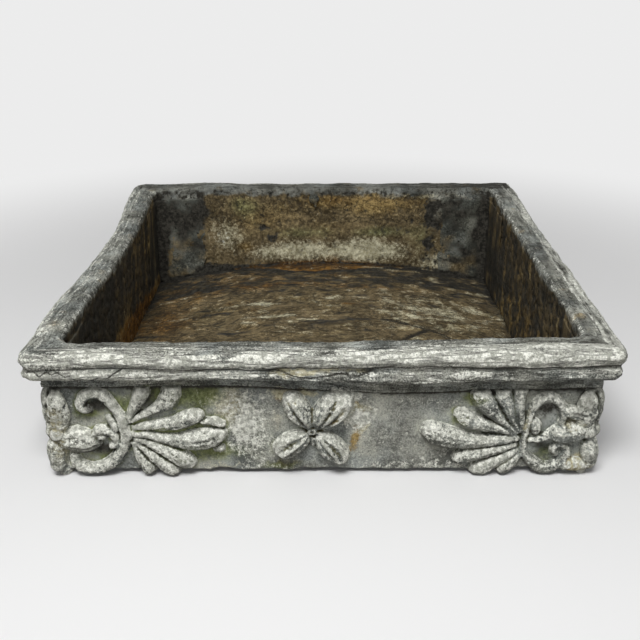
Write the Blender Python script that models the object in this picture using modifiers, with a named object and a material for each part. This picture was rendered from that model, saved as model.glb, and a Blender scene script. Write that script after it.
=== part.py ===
"""Square lead garden planter.

Four cast panels stand round an arched floor sheet and carry a moulded, mitred rim.
A leafed stem covers each corner, and a palmette with its scroll flanks it on both faces.
A four-petalled flower sits at the middle of each face.
Straps line the inner corners, and a domed plug fills an old hole in the back rim.

Metres, +Z up. The front faces -Y, and the origin is on the ground below the middle.
"""

import math

import bmesh
import bpy
from mathutils import Matrix, Vector

# Whole planter, square in plan
PLANTER_WIDTH = 0.440
PLANTER_HEIGHT = 0.114
JOINT_GAP = 0.0003
CUT_OVERRUN = 0.020

# Moulded rim: a flat top, an upper roll, a lower roll set back a little, and a tall fillet
RIM_WIDTH = 0.0265
RIM_HEIGHT = 0.037
UPPER_ROLL_RADIUS = 0.0068
LOWER_ROLL_RADIUS = 0.0066
LOWER_ROLL_SETBACK = 0.0016
CREASE_DEPTH = 0.0044
FILLET_HEIGHT = 0.0104
FILLET_PROUD = 0.004
ROLL_STEPS = 6

# Cast panels, arched floor sheet and inner corner straps
WALL_THICKNESS = 0.0095
WALL_EDGE_ROUND = 0.0008
PANEL_LIFT = 0.004
FLOOR_THICKNESS = 0.0035
FLOOR_RISE = 0.0195
FLOOR_CELLS = 16
STRAP_LEG = 0.055
STRAP_THICKNESS = 0.0012

# Corner stem: a turned bar notched over the corner, upper leaf, knot and lower leaf
STEM_RADIUS = 0.0105
STEM_INSET = 0.0025
STEM_STEPS = 16
STEM_HEIGHT_AND_RADIUS_SHARES = (
    (1.00, 0.00),
    (1.00, 0.50),
    (0.94, 0.84),
    (0.82, 1.00),
    (0.68, 0.90),
    (0.60, 0.74),
    (0.55, 0.84),
    (0.50, 0.84),
    (0.45, 0.74),
    (0.34, 0.90),
    (0.16, 1.00),
    (0.04, 0.98),
    (0.00, 0.90),
    (0.00, 0.00),
)

# Applied ornament, cast separately and seated on the panels
RELIEF = 0.0078
RELIEF_AXIS_SHARE = 0.06
FLOWER_SHIFT = -0.007

# Palmette, in shares of the ornament's height; angles run up from the line to the middle
HUB_FROM_CORNER_SHARE = 0.73
HUB_HEIGHT_SHARE = 0.49
HUB_RADIUS_SHARE = 0.070
LEAF_LENGTH_SHARE = 0.93
LEAF_HALF_WIDTH_SHARE = 0.106
LEAF_ANGLE_LENGTH_WIDTH_SHARES = (
    (73, 0.53, 0.68),
    (50, 0.68, 0.88),
    (25, 0.86, 0.80),
    (2, 1.00, 1.00),
    (-31, 0.74, 0.92),
    (-51, 0.67, 0.80),
    (-73, 0.54, 0.74),
)
LEAF_PLACE_AND_SWELL_SHARES = (
    (0.02, 0.36),
    (0.32, 0.56),
    (0.62, 0.84),
    (0.82, 1.00),
    (0.94, 0.82),
    (1.00, 0.42),
)
LEAF_BOW_SHARE = 0.05

# C-scroll beside the palmette, open towards the corner, its upper end curled in
SCROLL_WIDTH_SHARE = 0.63
SCROLL_HEIGHT_SHARE = 0.83
SCROLL_CENTRE_HEIGHT_SHARE = 0.51
SCROLL_TUBE_SHARE = 0.062
SCROLL_LOWER_ANGLE = -140
SCROLL_CURL_ANGLE = 88
SCROLL_UPPER_ANGLE = 140
SCROLL_CURL_SHARE = 0.34
SCROLL_STEPS = 12

# Bud and inner curl inside the scroll, as places from the hub towards the corner and up
BUD_PLACE_AND_RADIUS_SHARES = (
    (0.30, -0.03, 0.045),
    (0.36, -0.01, 0.105),
    (0.45, 0.01, 0.145),
    (0.53, 0.00, 0.110),
    (0.62, 0.01, 0.060),
)
CURL_PLACE_AND_RADIUS_SHARES = (
    (0.40, 0.04, 0.040),
    (0.31, 0.09, 0.046),
    (0.22, 0.08, 0.048),
    (0.14, 0.02, 0.050),
    (0.11, -0.06, 0.046),
    (0.15, -0.13, 0.036),
)
LOBE_PLACE_AND_RADIUS_SHARES = (
    (0.19, 0.20, 0.030),
    (0.16, 0.14, 0.048),
    (0.09, 0.04, 0.040),
)

# Flower: four petals in a cross, turned half a quarter, round a small boss
PETAL_LENGTH_SHARE = 0.50
PETAL_HALF_WIDTH_SHARE = 0.136
PETAL_ANGLES = (47, 128, 214, 311)
PETAL_PLACE_AND_SWELL_SHARES = (
    (0.04, 0.36),
    (0.28, 0.76),
    (0.55, 1.00),
    (0.80, 0.98),
    (0.94, 0.82),
    (1.00, 0.55),
)
BOSS_RADIUS_SHARE = 0.075

# Domed plug in the back rim
PLUG_HEAD_RADIUS = 0.0058
PLUG_HEAD_HEIGHT = 0.003
PLUG_SHANK_RADIUS = 0.0038
PLUG_SHANK_LENGTH = 0.010
PLUG_BELOW_TOP = 0.0068
PLUG_SHIFT = -0.006
PLUG_STEPS = 12
DOME_STEPS = 3

# Levels worked out from the sizes above
OUTER_HALF = PLANTER_WIDTH / 2
INNER_HALF = OUTER_HALF - RIM_WIDTH
FACE_HALF = INNER_HALF + WALL_THICKNESS
RIM_BASE = PLANTER_HEIGHT - RIM_HEIGHT
WALL_TOP = RIM_BASE - JOINT_GAP
ORNAMENT_HEIGHT = WALL_TOP - JOINT_GAP
ORNAMENT_FOOT = 2 * JOINT_GAP
SEAT_HALF = FACE_HALF + JOINT_GAP
STEM_CENTRE = FACE_HALF - STEM_INSET
WELD_DISTANCE = 0.000001

# Each face in turn, as the front turned a quarter anticlockwise, with its two ends' names
FACES = (
    ("front", "left", "right"),
    ("right", "front", "back"),
    ("back", "right", "left"),
    ("left", "back", "front"),
)
CORNERS = ("front_left", "front_right", "back_right", "back_left")

WEATHERED_LEAD = (0.33, 0.33, 0.32)
CHALKY_LEAD = (0.50, 0.50, 0.48)
STAINED_LEAD = (0.22, 0.17, 0.11)
DARK_LEAD = (0.10, 0.10, 0.10)


def clear_scene():
    """Remove every object, so that the script can run in any file."""
    for item in list(bpy.data.objects):
        bpy.data.objects.remove(item, do_unlink=True)


def new_collection(name):
    """A collection linked to the scene."""
    collection = bpy.data.collections.new(name)
    bpy.context.scene.collection.children.link(collection)
    return collection


def lead(name, colour, roughness):
    """A dull weathered metal finish of its own."""
    material = bpy.data.materials.new(name)
    material.use_nodes = True
    shader = material.node_tree.nodes["Principled BSDF"]
    shader.inputs["Base Color"].default_value = (*colour, 1)
    shader.inputs["Roughness"].default_value = roughness
    shader.inputs["Metallic"].default_value = 0.25
    return material


def add_object(name, mesh, collection):
    """An object at the origin that holds a mesh."""
    item = bpy.data.objects.new(name, mesh)
    collection.objects.link(item)
    return item


def finish(item, colour, roughness=0.8):
    """Give a piece its own material and smooth its round surfaces."""
    item.data = item.data.copy()
    item.data.name = item.name
    item.data.materials.clear()
    item.data.materials.append(lead(item.name, colour, roughness))
    item.data.shade_smooth()
    item.data.set_sharp_from_angle(angle=math.radians(35))
    return item


def as_cutter(item):
    """Mark an object as a cutter, which isn't part of the planter."""
    item.hide_render = True
    item.display_type = "WIRE"
    return item


def box_mesh(name, low, high):
    """A box between two corners."""
    shape = bmesh.new()
    bmesh.ops.create_cube(shape, size=1)
    size = Vector(high) - Vector(low)
    bmesh.ops.scale(shape, vec=size, verts=shape.verts)
    bmesh.ops.translate(shape, vec=(Vector(high) + Vector(low)) / 2, verts=shape.verts)
    mesh = bpy.data.meshes.new(name)
    shape.to_mesh(mesh)
    shape.free()
    return mesh


def boolean(item, operation, cutter):
    """Cut an object by another, or by every object of a collection."""
    modifier = item.modifiers.new(operation.lower(), "BOOLEAN")
    modifier.solver = "EXACT"
    modifier.operation = operation
    if isinstance(cutter, bpy.types.Collection):
        modifier.operand_type = "COLLECTION"
        modifier.collection = cutter
    else:
        modifier.object = cutter
    return modifier


def turned(name, profile, steps, collection):
    """A round piece: a profile of radius and height, from the top down, turned about Z."""
    mesh = bpy.data.meshes.new(name)
    points = [(radius, 0, height) for radius, height in profile]
    mesh.from_pydata(points, [(index, index + 1) for index in range(len(points) - 1)], [])
    item = add_object(name, mesh, collection)
    screw = item.modifiers.new("turn", "SCREW")
    screw.steps = steps
    screw.render_steps = steps
    screw.use_merge_vertices = True
    screw.merge_threshold = WELD_DISTANCE
    return item


def evaluated_mesh(name, item):
    """The mesh of an object with its modifiers, or of a curve with its caps welded."""
    graph = bpy.context.evaluated_depsgraph_get()
    mesh = bpy.data.meshes.new_from_object(item.evaluated_get(graph))
    mesh.name = name
    shape = bmesh.new()
    shape.from_mesh(mesh)
    bmesh.ops.remove_doubles(shape, verts=shape.verts, dist=WELD_DISTANCE)
    shape.to_mesh(mesh)
    shape.free()
    return mesh


def lobe(name, route, radii, collection):
    """A leaf, petal or scroll: a round bar along a route, thicker and thinner as it goes."""
    curve = bpy.data.curves.new(name, "CURVE")
    curve.dimensions = "3D"
    curve.bevel_depth = 1
    curve.bevel_resolution = 2
    curve.use_fill_caps = True
    spline = curve.splines.new("POLY")
    spline.points.add(len(route) - 1)
    for point, place, radius in zip(spline.points, route, radii):
        point.co = (*place, 1)
        point.radius = radius
    guide = add_object(name + "_route", curve, collection)
    mesh = evaluated_mesh(name, guide)
    bpy.data.objects.remove(guide, do_unlink=True)
    return as_cutter(add_object(name, mesh, collection))


def on_front(across, up):
    """A place on the axis plane of the ornament of the front face."""
    return Vector((across, -SEAT_HALF - RELIEF * RELIEF_AXIS_SHARE, up))


def tapered_leaf(name, root, angle, length, half_width, bow, swells, collection):
    """A leaf that leaves its root at an angle, with a slight bow, and swells near its tip."""
    along = Vector((math.cos(angle), 0, math.sin(angle)))
    aside = Vector((-math.sin(angle), 0, math.cos(angle)))
    reach = length - half_width * swells[-1][1] / 2
    route = []
    radii = []
    for place, swell in swells:
        arch = math.sin(math.pi * place)
        route.append(root + along * (place * reach) + aside * (arch * bow))
        radii.append(half_width * swell)
    return lobe(name, route, radii, collection)


def boss(name, centre, radius, collection):
    """The rounded middle that the leaves or petals grow from."""
    shape = bmesh.new()
    bmesh.ops.create_uvsphere(shape, u_segments=10, v_segments=6, radius=radius)
    bmesh.ops.translate(shape, vec=centre, verts=shape.verts)
    mesh = bpy.data.meshes.new(name)
    shape.to_mesh(mesh)
    shape.free()
    return as_cutter(add_object(name, mesh, collection))


def scroll_route(side, centre, half_width, half_height):
    """Points of the C-scroll: an ellipse's arc whose upper end winds in."""
    route = []
    span = SCROLL_UPPER_ANGLE - SCROLL_LOWER_ANGLE
    for step in range(SCROLL_STEPS + 1):
        degrees = SCROLL_LOWER_ANGLE + span * step / SCROLL_STEPS
        past = max(0, degrees - SCROLL_CURL_ANGLE) / (SCROLL_UPPER_ANGLE - SCROLL_CURL_ANGLE)
        reach = 1 - SCROLL_CURL_SHARE * past * past
        angle = math.radians(degrees)
        across = -side * half_width * reach * math.cos(angle)
        up = half_height * reach * math.sin(angle)
        route.append(centre + Vector((across, 0, up)))
    return route


def from_hub(hub, side, places):
    """A route and its radii from places given towards the corner and up, as shares."""
    unit = ORNAMENT_HEIGHT
    route = [hub + Vector((side * out * unit, 0, up * unit)) for out, up, _ in places]
    return route, [radius * unit for _, _, radius in places]


def cast_piece(name, core, lobes, trims):
    """One casting: the core joined with its lobes, trimmed to its seat and neighbours."""
    boolean(core, "UNION", lobes)
    for operation, cutter in trims:
        boolean(core, operation, cutter)
    mesh = evaluated_mesh(name, core)
    for item in list(lobes.objects) + [core]:
        bpy.data.objects.remove(item, do_unlink=True)
    bpy.data.collections.remove(lobes)
    return mesh


def palmette_mesh(side, slab, stem_room, cutters):
    """The palmette on the front face: side is -1 for the left end and 1 for the right."""
    name = "palmette"
    unit = ORNAMENT_HEIGHT
    lobes = new_collection(name + "_lobes")
    hub = on_front(side * (FACE_HALF - HUB_FROM_CORNER_SHARE * unit), HUB_HEIGHT_SHARE * unit)
    core = boss(name, hub, HUB_RADIUS_SHARE * unit, cutters)
    for number, (degrees, length, width) in enumerate(LEAF_ANGLE_LENGTH_WIDTH_SHARES):
        upright = math.radians(degrees)
        angle = upright if side < 0 else math.pi - upright
        tapered_leaf(
            f"leaf_{number}", hub, angle, length * LEAF_LENGTH_SHARE * unit,
            width * LEAF_HALF_WIDTH_SHARE * unit,
            side * math.sin(upright) * LEAF_BOW_SHARE * unit,
            LEAF_PLACE_AND_SWELL_SHARES, lobes,
        )
    half_width = SCROLL_WIDTH_SHARE * unit / 2
    scroll_centre = on_front(hub.x + side * half_width, SCROLL_CENTRE_HEIGHT_SHARE * unit)
    route = scroll_route(side, scroll_centre, half_width, SCROLL_HEIGHT_SHARE * unit / 2)
    lobe("scroll", route, [SCROLL_TUBE_SHARE * unit] * len(route), lobes)
    for label, places in (
        ("bud", BUD_PLACE_AND_RADIUS_SHARES),
        ("curl", CURL_PLACE_AND_RADIUS_SHARES),
        ("small_lobe", LOBE_PLACE_AND_RADIUS_SHARES),
    ):
        lobe(label, *from_hub(hub, side, places), lobes)
    trims = (("INTERSECT", slab), ("DIFFERENCE", stem_room))
    return cast_piece(name, core, lobes, trims)


def flower_mesh(slab, cutters):
    """The four-petalled flower on the front face."""
    name = "flower"
    unit = ORNAMENT_HEIGHT
    lobes = new_collection(name + "_lobes")
    centre = on_front(FLOWER_SHIFT, (WALL_TOP + PANEL_LIFT) / 2)
    core = boss(name, centre, BOSS_RADIUS_SHARE * unit, cutters)
    for number, degrees in enumerate(PETAL_ANGLES):
        tapered_leaf(
            f"petal_{number}", centre, math.radians(degrees), PETAL_LENGTH_SHARE * unit,
            PETAL_HALF_WIDTH_SHARE * unit, 0, PETAL_PLACE_AND_SWELL_SHARES, lobes,
        )
    return cast_piece(name, core, lobes, (("INTERSECT", slab),))


def quarter_turned(item, quarter):
    """Turn a piece made at the front to another face or corner."""
    turn = Matrix.Rotation(quarter * math.pi / 2, 4, "Z")
    item.matrix_world = turn @ item.matrix_basis
    return item


def arc(centre, radius, first, last, steps):
    """Points on an arc, by its angles in degrees."""
    points = []
    for step in range(steps + 1):
        angle = math.radians(first + (last - first) * step / steps)
        points.append((centre[0] + radius * math.cos(angle), centre[1] + radius * math.sin(angle)))
    return points


def rim_profile():
    """The rim's section, as distances out from the inner face and heights."""
    upper = (RIM_WIDTH - UPPER_ROLL_RADIUS, PLANTER_HEIGHT - UPPER_ROLL_RADIUS)
    lower = (
        RIM_WIDTH - LOWER_ROLL_SETBACK - LOWER_ROLL_RADIUS,
        RIM_BASE + FILLET_HEIGHT + LOWER_ROLL_RADIUS,
    )
    upper_arc = arc(upper, UPPER_ROLL_RADIUS, 90, -45, ROLL_STEPS)
    lower_arc = arc(lower, LOWER_ROLL_RADIUS, 45, -90, ROLL_STEPS)
    crease = (RIM_WIDTH - CREASE_DEPTH, (upper_arc[-1][1] + lower_arc[0][1]) / 2)
    fillet = WALL_THICKNESS + FILLET_PROUD
    return (
        [(0, RIM_BASE), (0, PLANTER_HEIGHT)] + upper_arc + [crease] + lower_arc
        + [(fillet, RIM_BASE + FILLET_HEIGHT), (fillet, RIM_BASE)]
    )


def rim_mesh():
    """The front rail: its section swept along X, with both ends mitred."""
    shape = bmesh.new()
    mitre_gap = JOINT_GAP / 2
    near = []
    for out, up in rim_profile():
        depth = INNER_HALF + out
        near.append(shape.verts.new((mitre_gap - depth, -depth, up)))
    cap = shape.faces.new(near)
    swept = bmesh.ops.extrude_face_region(shape, geom=[cap])
    for vert in swept["geom"]:
        if isinstance(vert, bmesh.types.BMVert):
            vert.co.x = -vert.co.x
    bmesh.ops.recalc_face_normals(shape, faces=shape.faces)
    mesh = bpy.data.meshes.new("rim")
    shape.to_mesh(mesh)
    shape.free()
    return mesh


def floor_height(across, base):
    """Height of an arched surface that is level along Y."""
    share = across / INNER_HALF
    return base + FLOOR_RISE * (1 - share * share)


def arched_slab(name, half, base, thickness, collection):
    """An arched sheet whose top surface is at base by the walls, thickened downwards."""
    shape = bmesh.new()
    bmesh.ops.create_grid(shape, x_segments=FLOOR_CELLS, y_segments=1, size=half)
    for vert in shape.verts:
        vert.co.z = floor_height(vert.co.x, base)
    mesh = bpy.data.meshes.new(name)
    shape.to_mesh(mesh)
    shape.free()
    item = add_object(name, mesh, collection)
    solidify = item.modifiers.new("thickness", "SOLIDIFY")
    solidify.thickness = thickness
    solidify.offset = -1
    return item


def make_walls(parts):
    """Four cast panels: front and back full width, the sides fitted between them."""
    side_half = INNER_HALF - JOINT_GAP
    spans = {"front": FACE_HALF, "right": side_half, "back": FACE_HALF, "left": side_half}
    for quarter, (face, _, _) in enumerate(FACES):
        low = (-spans[face], -FACE_HALF, PANEL_LIFT)
        high = (spans[face], -INNER_HALF, WALL_TOP)
        wall = add_object(face + "_wall", box_mesh(face + "_wall", low, high), parts)
        finish(wall, WEATHERED_LEAD)
        bevel = wall.modifiers.new("edges", "BEVEL")
        bevel.width = WALL_EDGE_ROUND
        bevel.segments = 2
        quarter_turned(wall, quarter)


def make_rim(parts, cutters):
    """Four mitred rails, with the blind hole for the plug in the back one."""
    mesh = rim_mesh()
    for quarter, (face, _, _) in enumerate(FACES):
        rail = add_object("rim_" + face, mesh, parts)
        finish(rail, CHALKY_LEAD)
        quarter_turned(rail, quarter)
        if face == "back":
            hole = turned("plug_hole", plug_hole_profile(), PLUG_STEPS, cutters)
            as_cutter(hole)
            place_at_plug(hole)
            boolean(rail, "DIFFERENCE", hole)


def plug_hole_profile():
    """The blind hole that takes the plug's shank, open into the planter."""
    radius = PLUG_SHANK_RADIUS + JOINT_GAP
    bottom = -PLUG_SHANK_LENGTH - JOINT_GAP
    return ((0, CUT_OVERRUN), (radius, CUT_OVERRUN), (radius, bottom), (0, bottom))


def plug_profile():
    """A domed head on a round shank, with the head's seat at height zero."""
    profile = []
    for step in range(DOME_STEPS + 1):
        angle = math.pi / 2 * step / DOME_STEPS
        radius = PLUG_HEAD_RADIUS * math.sin(angle)
        profile.append((radius, JOINT_GAP + PLUG_HEAD_HEIGHT * math.cos(angle)))
    bottom = JOINT_GAP - PLUG_SHANK_LENGTH
    profile.append((PLUG_SHANK_RADIUS, JOINT_GAP))
    profile.append((PLUG_SHANK_RADIUS, bottom))
    profile.append((0, bottom))
    return profile


def place_at_plug(item):
    """Stand a turned piece on the inner face of the back rim, pointing into the planter."""
    item.location = (PLUG_SHIFT, INNER_HALF, PLANTER_HEIGHT - PLUG_BELOW_TOP)
    item.rotation_euler = (math.pi / 2, 0, 0)


def make_floor(parts):
    """The floor sheet, soldered between the panels and arched from side to side."""
    top = PANEL_LIFT + FLOOR_THICKNESS
    half = INNER_HALF - JOINT_GAP
    finish(arched_slab("floor_sheet", half, top, FLOOR_THICKNESS, parts), STAINED_LEAD)


def make_straps(parts, cutters):
    """L-shaped straps in the inner corners, cut to the floor's arch."""
    room = arched_slab(
        "floor_room", OUTER_HALF, PANEL_LIFT + FLOOR_THICKNESS + JOINT_GAP, CUT_OVERRUN, cutters
    )
    as_cutter(room)
    seat = INNER_HALF - JOINT_GAP
    corners = ((STRAP_LEG - seat, -seat), (-seat, -seat), (-seat, STRAP_LEG - seat))
    shape = bmesh.new()
    edge = [shape.verts.new((x, y, PANEL_LIFT)) for x, y in corners]
    lower = [shape.edges.new(pair) for pair in zip(edge, edge[1:])]
    raised = bmesh.ops.extrude_edge_only(shape, edges=lower)
    for vert in raised["geom"]:
        if isinstance(vert, bmesh.types.BMVert):
            vert.co.z = WALL_TOP
    mesh = bpy.data.meshes.new("strap")
    shape.to_mesh(mesh)
    shape.free()
    for quarter, corner in enumerate(CORNERS):
        strap = add_object("corner_strap_" + corner, mesh, parts)
        finish(strap, DARK_LEAD)
        solidify = strap.modifiers.new("thickness", "SOLIDIFY")
        solidify.thickness = STRAP_THICKNESS
        solidify.offset = -1
        solidify.use_even_offset = True
        boolean(strap, "DIFFERENCE", room)
        quarter_turned(strap, quarter)


def stem_profile(extra):
    """The stem's radii and heights from the top down, grown by a clearance."""
    height = ORNAMENT_HEIGHT
    profile = []
    for height_share, radius_share in STEM_HEIGHT_AND_RADIUS_SHARES:
        radius = STEM_RADIUS * radius_share
        if radius_share:
            radius += extra
        level = height * height_share
        if extra:
            level += CUT_OVERRUN * (2 * height_share - 1) if height_share in (0, 1) else 0
        profile.append((radius, level))
    return profile


def make_stems(parts, cutters):
    """Leafed stems over the four corners, notched to sit on both panels; they are the feet."""
    low = (-SEAT_HALF, -SEAT_HALF, -CUT_OVERRUN)
    high = (SEAT_HALF, SEAT_HALF, PLANTER_HEIGHT)
    body = as_cutter(add_object("body_block", box_mesh("body_block", low, high), cutters))
    for quarter, corner in enumerate(CORNERS):
        stem = turned("corner_stem_" + corner, stem_profile(0), STEM_STEPS, parts)
        finish(stem, CHALKY_LEAD)
        stem.location = (-STEM_CENTRE, -STEM_CENTRE, 0)
        boolean(stem, "DIFFERENCE", body)
        quarter_turned(stem, quarter)


def make_ornament(parts, cutters):
    """Two palmettes and a flower on each face, cast once and turned to the others."""
    low = (-SEAT_HALF, -SEAT_HALF - RELIEF, ORNAMENT_FOOT)
    high = (SEAT_HALF, -SEAT_HALF, ORNAMENT_HEIGHT)
    slab = as_cutter(add_object("ornament_slab", box_mesh("ornament_slab", low, high), cutters))
    castings = []
    for side in (-1, 1):
        room = as_cutter(turned("stem_room", stem_profile(JOINT_GAP), STEM_STEPS, cutters))
        room.location = (side * STEM_CENTRE, -STEM_CENTRE, 0)
        castings.append(palmette_mesh(side, slab, room, cutters))
    flower = flower_mesh(slab, cutters)
    for quarter, (face, first_end, second_end) in enumerate(FACES):
        for mesh, end in zip(castings, (first_end, second_end)):
            casting = add_object(f"palmette_{face}_{end}", mesh, parts)
            quarter_turned(finish(casting, CHALKY_LEAD), quarter)
        blossom = add_object("flower_" + face, flower, parts)
        quarter_turned(finish(blossom, CHALKY_LEAD), quarter)


def make_plug(parts):
    """The domed plug, with its shank in the back rim's blind hole."""
    plug = turned("rim_plug", plug_profile(), PLUG_STEPS, parts)
    finish(plug, DARK_LEAD)
    place_at_plug(plug)


def main():
    clear_scene()
    parts = new_collection("lead_planter")
    cutters = new_collection("cutters")
    make_walls(parts)
    make_rim(parts, cutters)
    make_floor(parts)
    make_straps(parts, cutters)
    make_stems(parts, cutters)
    make_ornament(parts, cutters)
    make_plug(parts)


main()
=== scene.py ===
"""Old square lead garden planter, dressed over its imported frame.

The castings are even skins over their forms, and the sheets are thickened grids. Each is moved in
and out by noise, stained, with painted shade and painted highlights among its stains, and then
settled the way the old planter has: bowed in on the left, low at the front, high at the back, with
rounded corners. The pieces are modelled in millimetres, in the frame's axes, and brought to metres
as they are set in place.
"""

import math

import bmesh
import bpy
import numpy as np
from mathutils import Matrix, Vector, noise


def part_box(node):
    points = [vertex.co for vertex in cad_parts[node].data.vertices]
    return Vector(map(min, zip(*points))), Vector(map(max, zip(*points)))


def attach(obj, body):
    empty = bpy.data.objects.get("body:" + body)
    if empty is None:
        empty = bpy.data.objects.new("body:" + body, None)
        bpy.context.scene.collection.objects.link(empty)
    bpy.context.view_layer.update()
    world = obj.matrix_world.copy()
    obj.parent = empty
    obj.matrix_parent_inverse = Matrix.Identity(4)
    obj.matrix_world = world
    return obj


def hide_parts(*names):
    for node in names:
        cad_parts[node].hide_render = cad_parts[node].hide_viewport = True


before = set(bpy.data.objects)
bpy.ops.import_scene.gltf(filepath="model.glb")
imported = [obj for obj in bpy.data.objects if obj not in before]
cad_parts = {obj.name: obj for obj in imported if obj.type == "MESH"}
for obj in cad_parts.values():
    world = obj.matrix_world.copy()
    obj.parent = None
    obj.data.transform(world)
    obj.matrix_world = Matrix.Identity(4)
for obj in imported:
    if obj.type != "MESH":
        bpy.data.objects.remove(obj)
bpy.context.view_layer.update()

MM = 0.001
BODY = "root"


def box_of(node):
    """The low and the high corner of a node's box, in millimetres."""
    return [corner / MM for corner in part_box(node)]


rim_low, rim_high = box_of("rim_front")
wall_low, _ = box_of("front_wall")
floor_low, floor_high = box_of("floor_sheet")
strap_low, strap_high = box_of("corner_strap_front_left")
_, stem_high = box_of("corner_stem_front_left")

OUTER_HALF = -rim_low.y
INNER_HALF = -rim_high.y
FACE_HALF = -wall_low.y
RIM_WIDTH = OUTER_HALF - INNER_HALF
RIM_BASE = rim_low.z
RIM_TOP = rim_high.z

# Each face as the front turned a quarter anticlockwise, with its two ends' names
FACES = (
    ("front", "left", "right"),
    ("right", "front", "back"),
    ("back", "right", "left"),
    ("left", "back", "front"),
)
CORNERS = ("front_left", "front_right", "back_right", "back_left")


# Mesh tools

def linked(name, data):
    """An object at the origin that holds a mesh, a camera or a lamp."""
    holder = bpy.data.objects.new(name, data)
    bpy.context.scene.collection.objects.link(holder)
    return holder


def mesh_from(name, shape):
    """Turn a bmesh into a mesh."""
    mesh = bpy.data.meshes.new(name)
    shape.to_mesh(mesh)
    shape.free()
    return mesh


def line_through(shape, points, closed=False):
    """The edges from each point to the next, and back to the first if closed."""
    verts = [shape.verts.new(point) for point in points]
    ends = verts[1:] + verts[:1] if closed else verts[1:]
    return [shape.edges.new(pair) for pair in zip(verts, ends)]


def spun(shape, steps):
    """Turn a line once round the upright axis."""
    bmesh.ops.spin(
        shape, geom=shape.verts[:] + shape.edges[:], cent=(0, 0, 0), axis=(0, 0, 1),
        angle=2 * math.pi, steps=steps, use_merge=True,
    )


def add_ball(shape, middle, half_sizes, segments, rings):
    """A rounded form with its own half width, half depth and half height."""
    ball = bmesh.ops.create_uvsphere(shape, u_segments=segments, v_segments=rings, radius=1)["verts"]
    bmesh.ops.scale(shape, vec=half_sizes, verts=ball)
    bmesh.ops.translate(shape, vec=middle, verts=ball)


def applied(piece):
    """Apply a piece's modifiers to its mesh."""
    graph = bpy.context.evaluated_depsgraph_get()
    mesh = bpy.data.meshes.new_from_object(piece.evaluated_get(graph))
    piece.modifiers.clear()
    piece.data = mesh
    return piece


def skinned(name, shape, cell):
    """One closed skin in even cells over all the forms of a shape."""
    piece = linked(name, mesh_from(name, shape))
    skin = piece.modifiers.new("skin", "REMESH")
    skin.mode = "VOXEL"
    skin.voxel_size = cell
    return applied(piece)


def places_of(mesh):
    """The places of a mesh's vertices, one row each."""
    flat = np.empty(len(mesh.vertices) * 3)
    mesh.vertices.foreach_get("co", flat)
    return flat.reshape(-1, 3)


def put_places(mesh, places):
    """Move a mesh's vertices to new places."""
    mesh.vertices.foreach_set("co", places.ravel())
    mesh.update()


def facings_of(mesh):
    """The way each vertex faces."""
    flat = np.empty(len(mesh.vertices) * 3)
    mesh.vertex_normals.foreach_get("vector", flat)
    return flat.reshape(-1, 3)


def neighbours_of(mesh):
    """The two ends of every edge, as two lists."""
    flat = np.empty(len(mesh.edges) * 2, int)
    mesh.edges.foreach_get("vertices", flat)
    return flat.reshape(-1, 2).T


def averaged(places, ends, rounds):
    """Every place moved to the average of itself and its neighbours, some rounds over."""
    first, second = ends
    count = len(places)
    share = 1 / (1 + np.bincount(first, minlength=count) + np.bincount(second, minlength=count))
    for _ in range(rounds):
        total = places.copy()
        for axis in range(places.shape[1]):
            total[:, axis] += np.bincount(first, places[second, axis], count)
            total[:, axis] += np.bincount(second, places[first, axis], count)
        places = total * share[:, None]
    return places


def relaxed(mesh, rounds):
    """Take the steps of the even cells out of a skin."""
    put_places(mesh, averaged(places_of(mesh), neighbours_of(mesh), rounds))


def quarter_turn(quarter, size=4):
    """A turn by some quarters anticlockwise."""
    return Matrix.Rotation(quarter * math.pi / 2, size, "Z")


def square_reach(x, y):
    """How far out each place lies, the same all round a square."""
    return np.maximum(np.abs(x), np.abs(y))


def ramp(value, start, end):
    """0 before start, 1 past end, smooth between."""
    share = np.clip((value - start) / (end - start), 0, 1)
    return share * share * (3 - 2 * share)


def bell(value, middle, reach):
    """1 at the middle, fading over the reach."""
    return np.exp(-(((value - middle) / reach) ** 2))


def mottle(places, size, seed, octaves=3):
    """Smooth noise of about -1 to 1 at each place, with features of a size."""
    spots = places / np.array(size) + seed * 7.31
    return np.array([noise.fractal(spot, 1, 2, octaves) for spot in spots.tolist()])


# How the old planter has settled

LEFT_BOW_PLACES = (-220, -138, -63, -14, 50, 100, 160, 220)
LEFT_BOW_DEPTHS = (0, 2.0, 7.2, 10.5, 11.0, 9.0, 3.5, 0)
LEFT_BOW_BLUR = 14
END_TILT_SHARE = 0.0225
BACK_LIFT_SHARE = 0.022
BACK_LEFT_RISE = 2.0
FRONT_SAG = 3.0
FRONT_TOP_DROP = 1.4
LOWER_ROLL_RISE = 2.0
FILLET_RISE = 1.6
CORNER_ROUNDS = {(-1, -1): 12, (1, -1): 11, (1, 1): 6, (-1, 1): 15}
INNER_ROUND = 12


def bow_at(y):
    """How far the top of the left side leans in, along its length."""
    total = 0
    for shift in (-LEFT_BOW_BLUR, 0, LEFT_BOW_BLUR):
        total = total + np.interp(y + shift, LEFT_BOW_PLACES, LEFT_BOW_DEPTHS)
    return total / 3


def rounded(x, y, start, amount):
    """Draw a square corner in to a round one, past a start on both axes."""
    past_x = np.abs(x) - start
    past_y = np.abs(y) - start
    beyond = (past_x > 0) & (past_y > 0)
    square = np.maximum(past_x, past_y)
    reach = np.hypot(past_x, past_y)
    share = np.where(beyond, square / np.where(beyond, reach, 1), 1)
    share = 1 + (share - 1) * amount
    round_x = np.sign(x) * (start + past_x * share)
    round_y = np.sign(y) * (start + past_y * share)
    return np.where(beyond, round_x, x), np.where(beyond, round_y, y)


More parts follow.
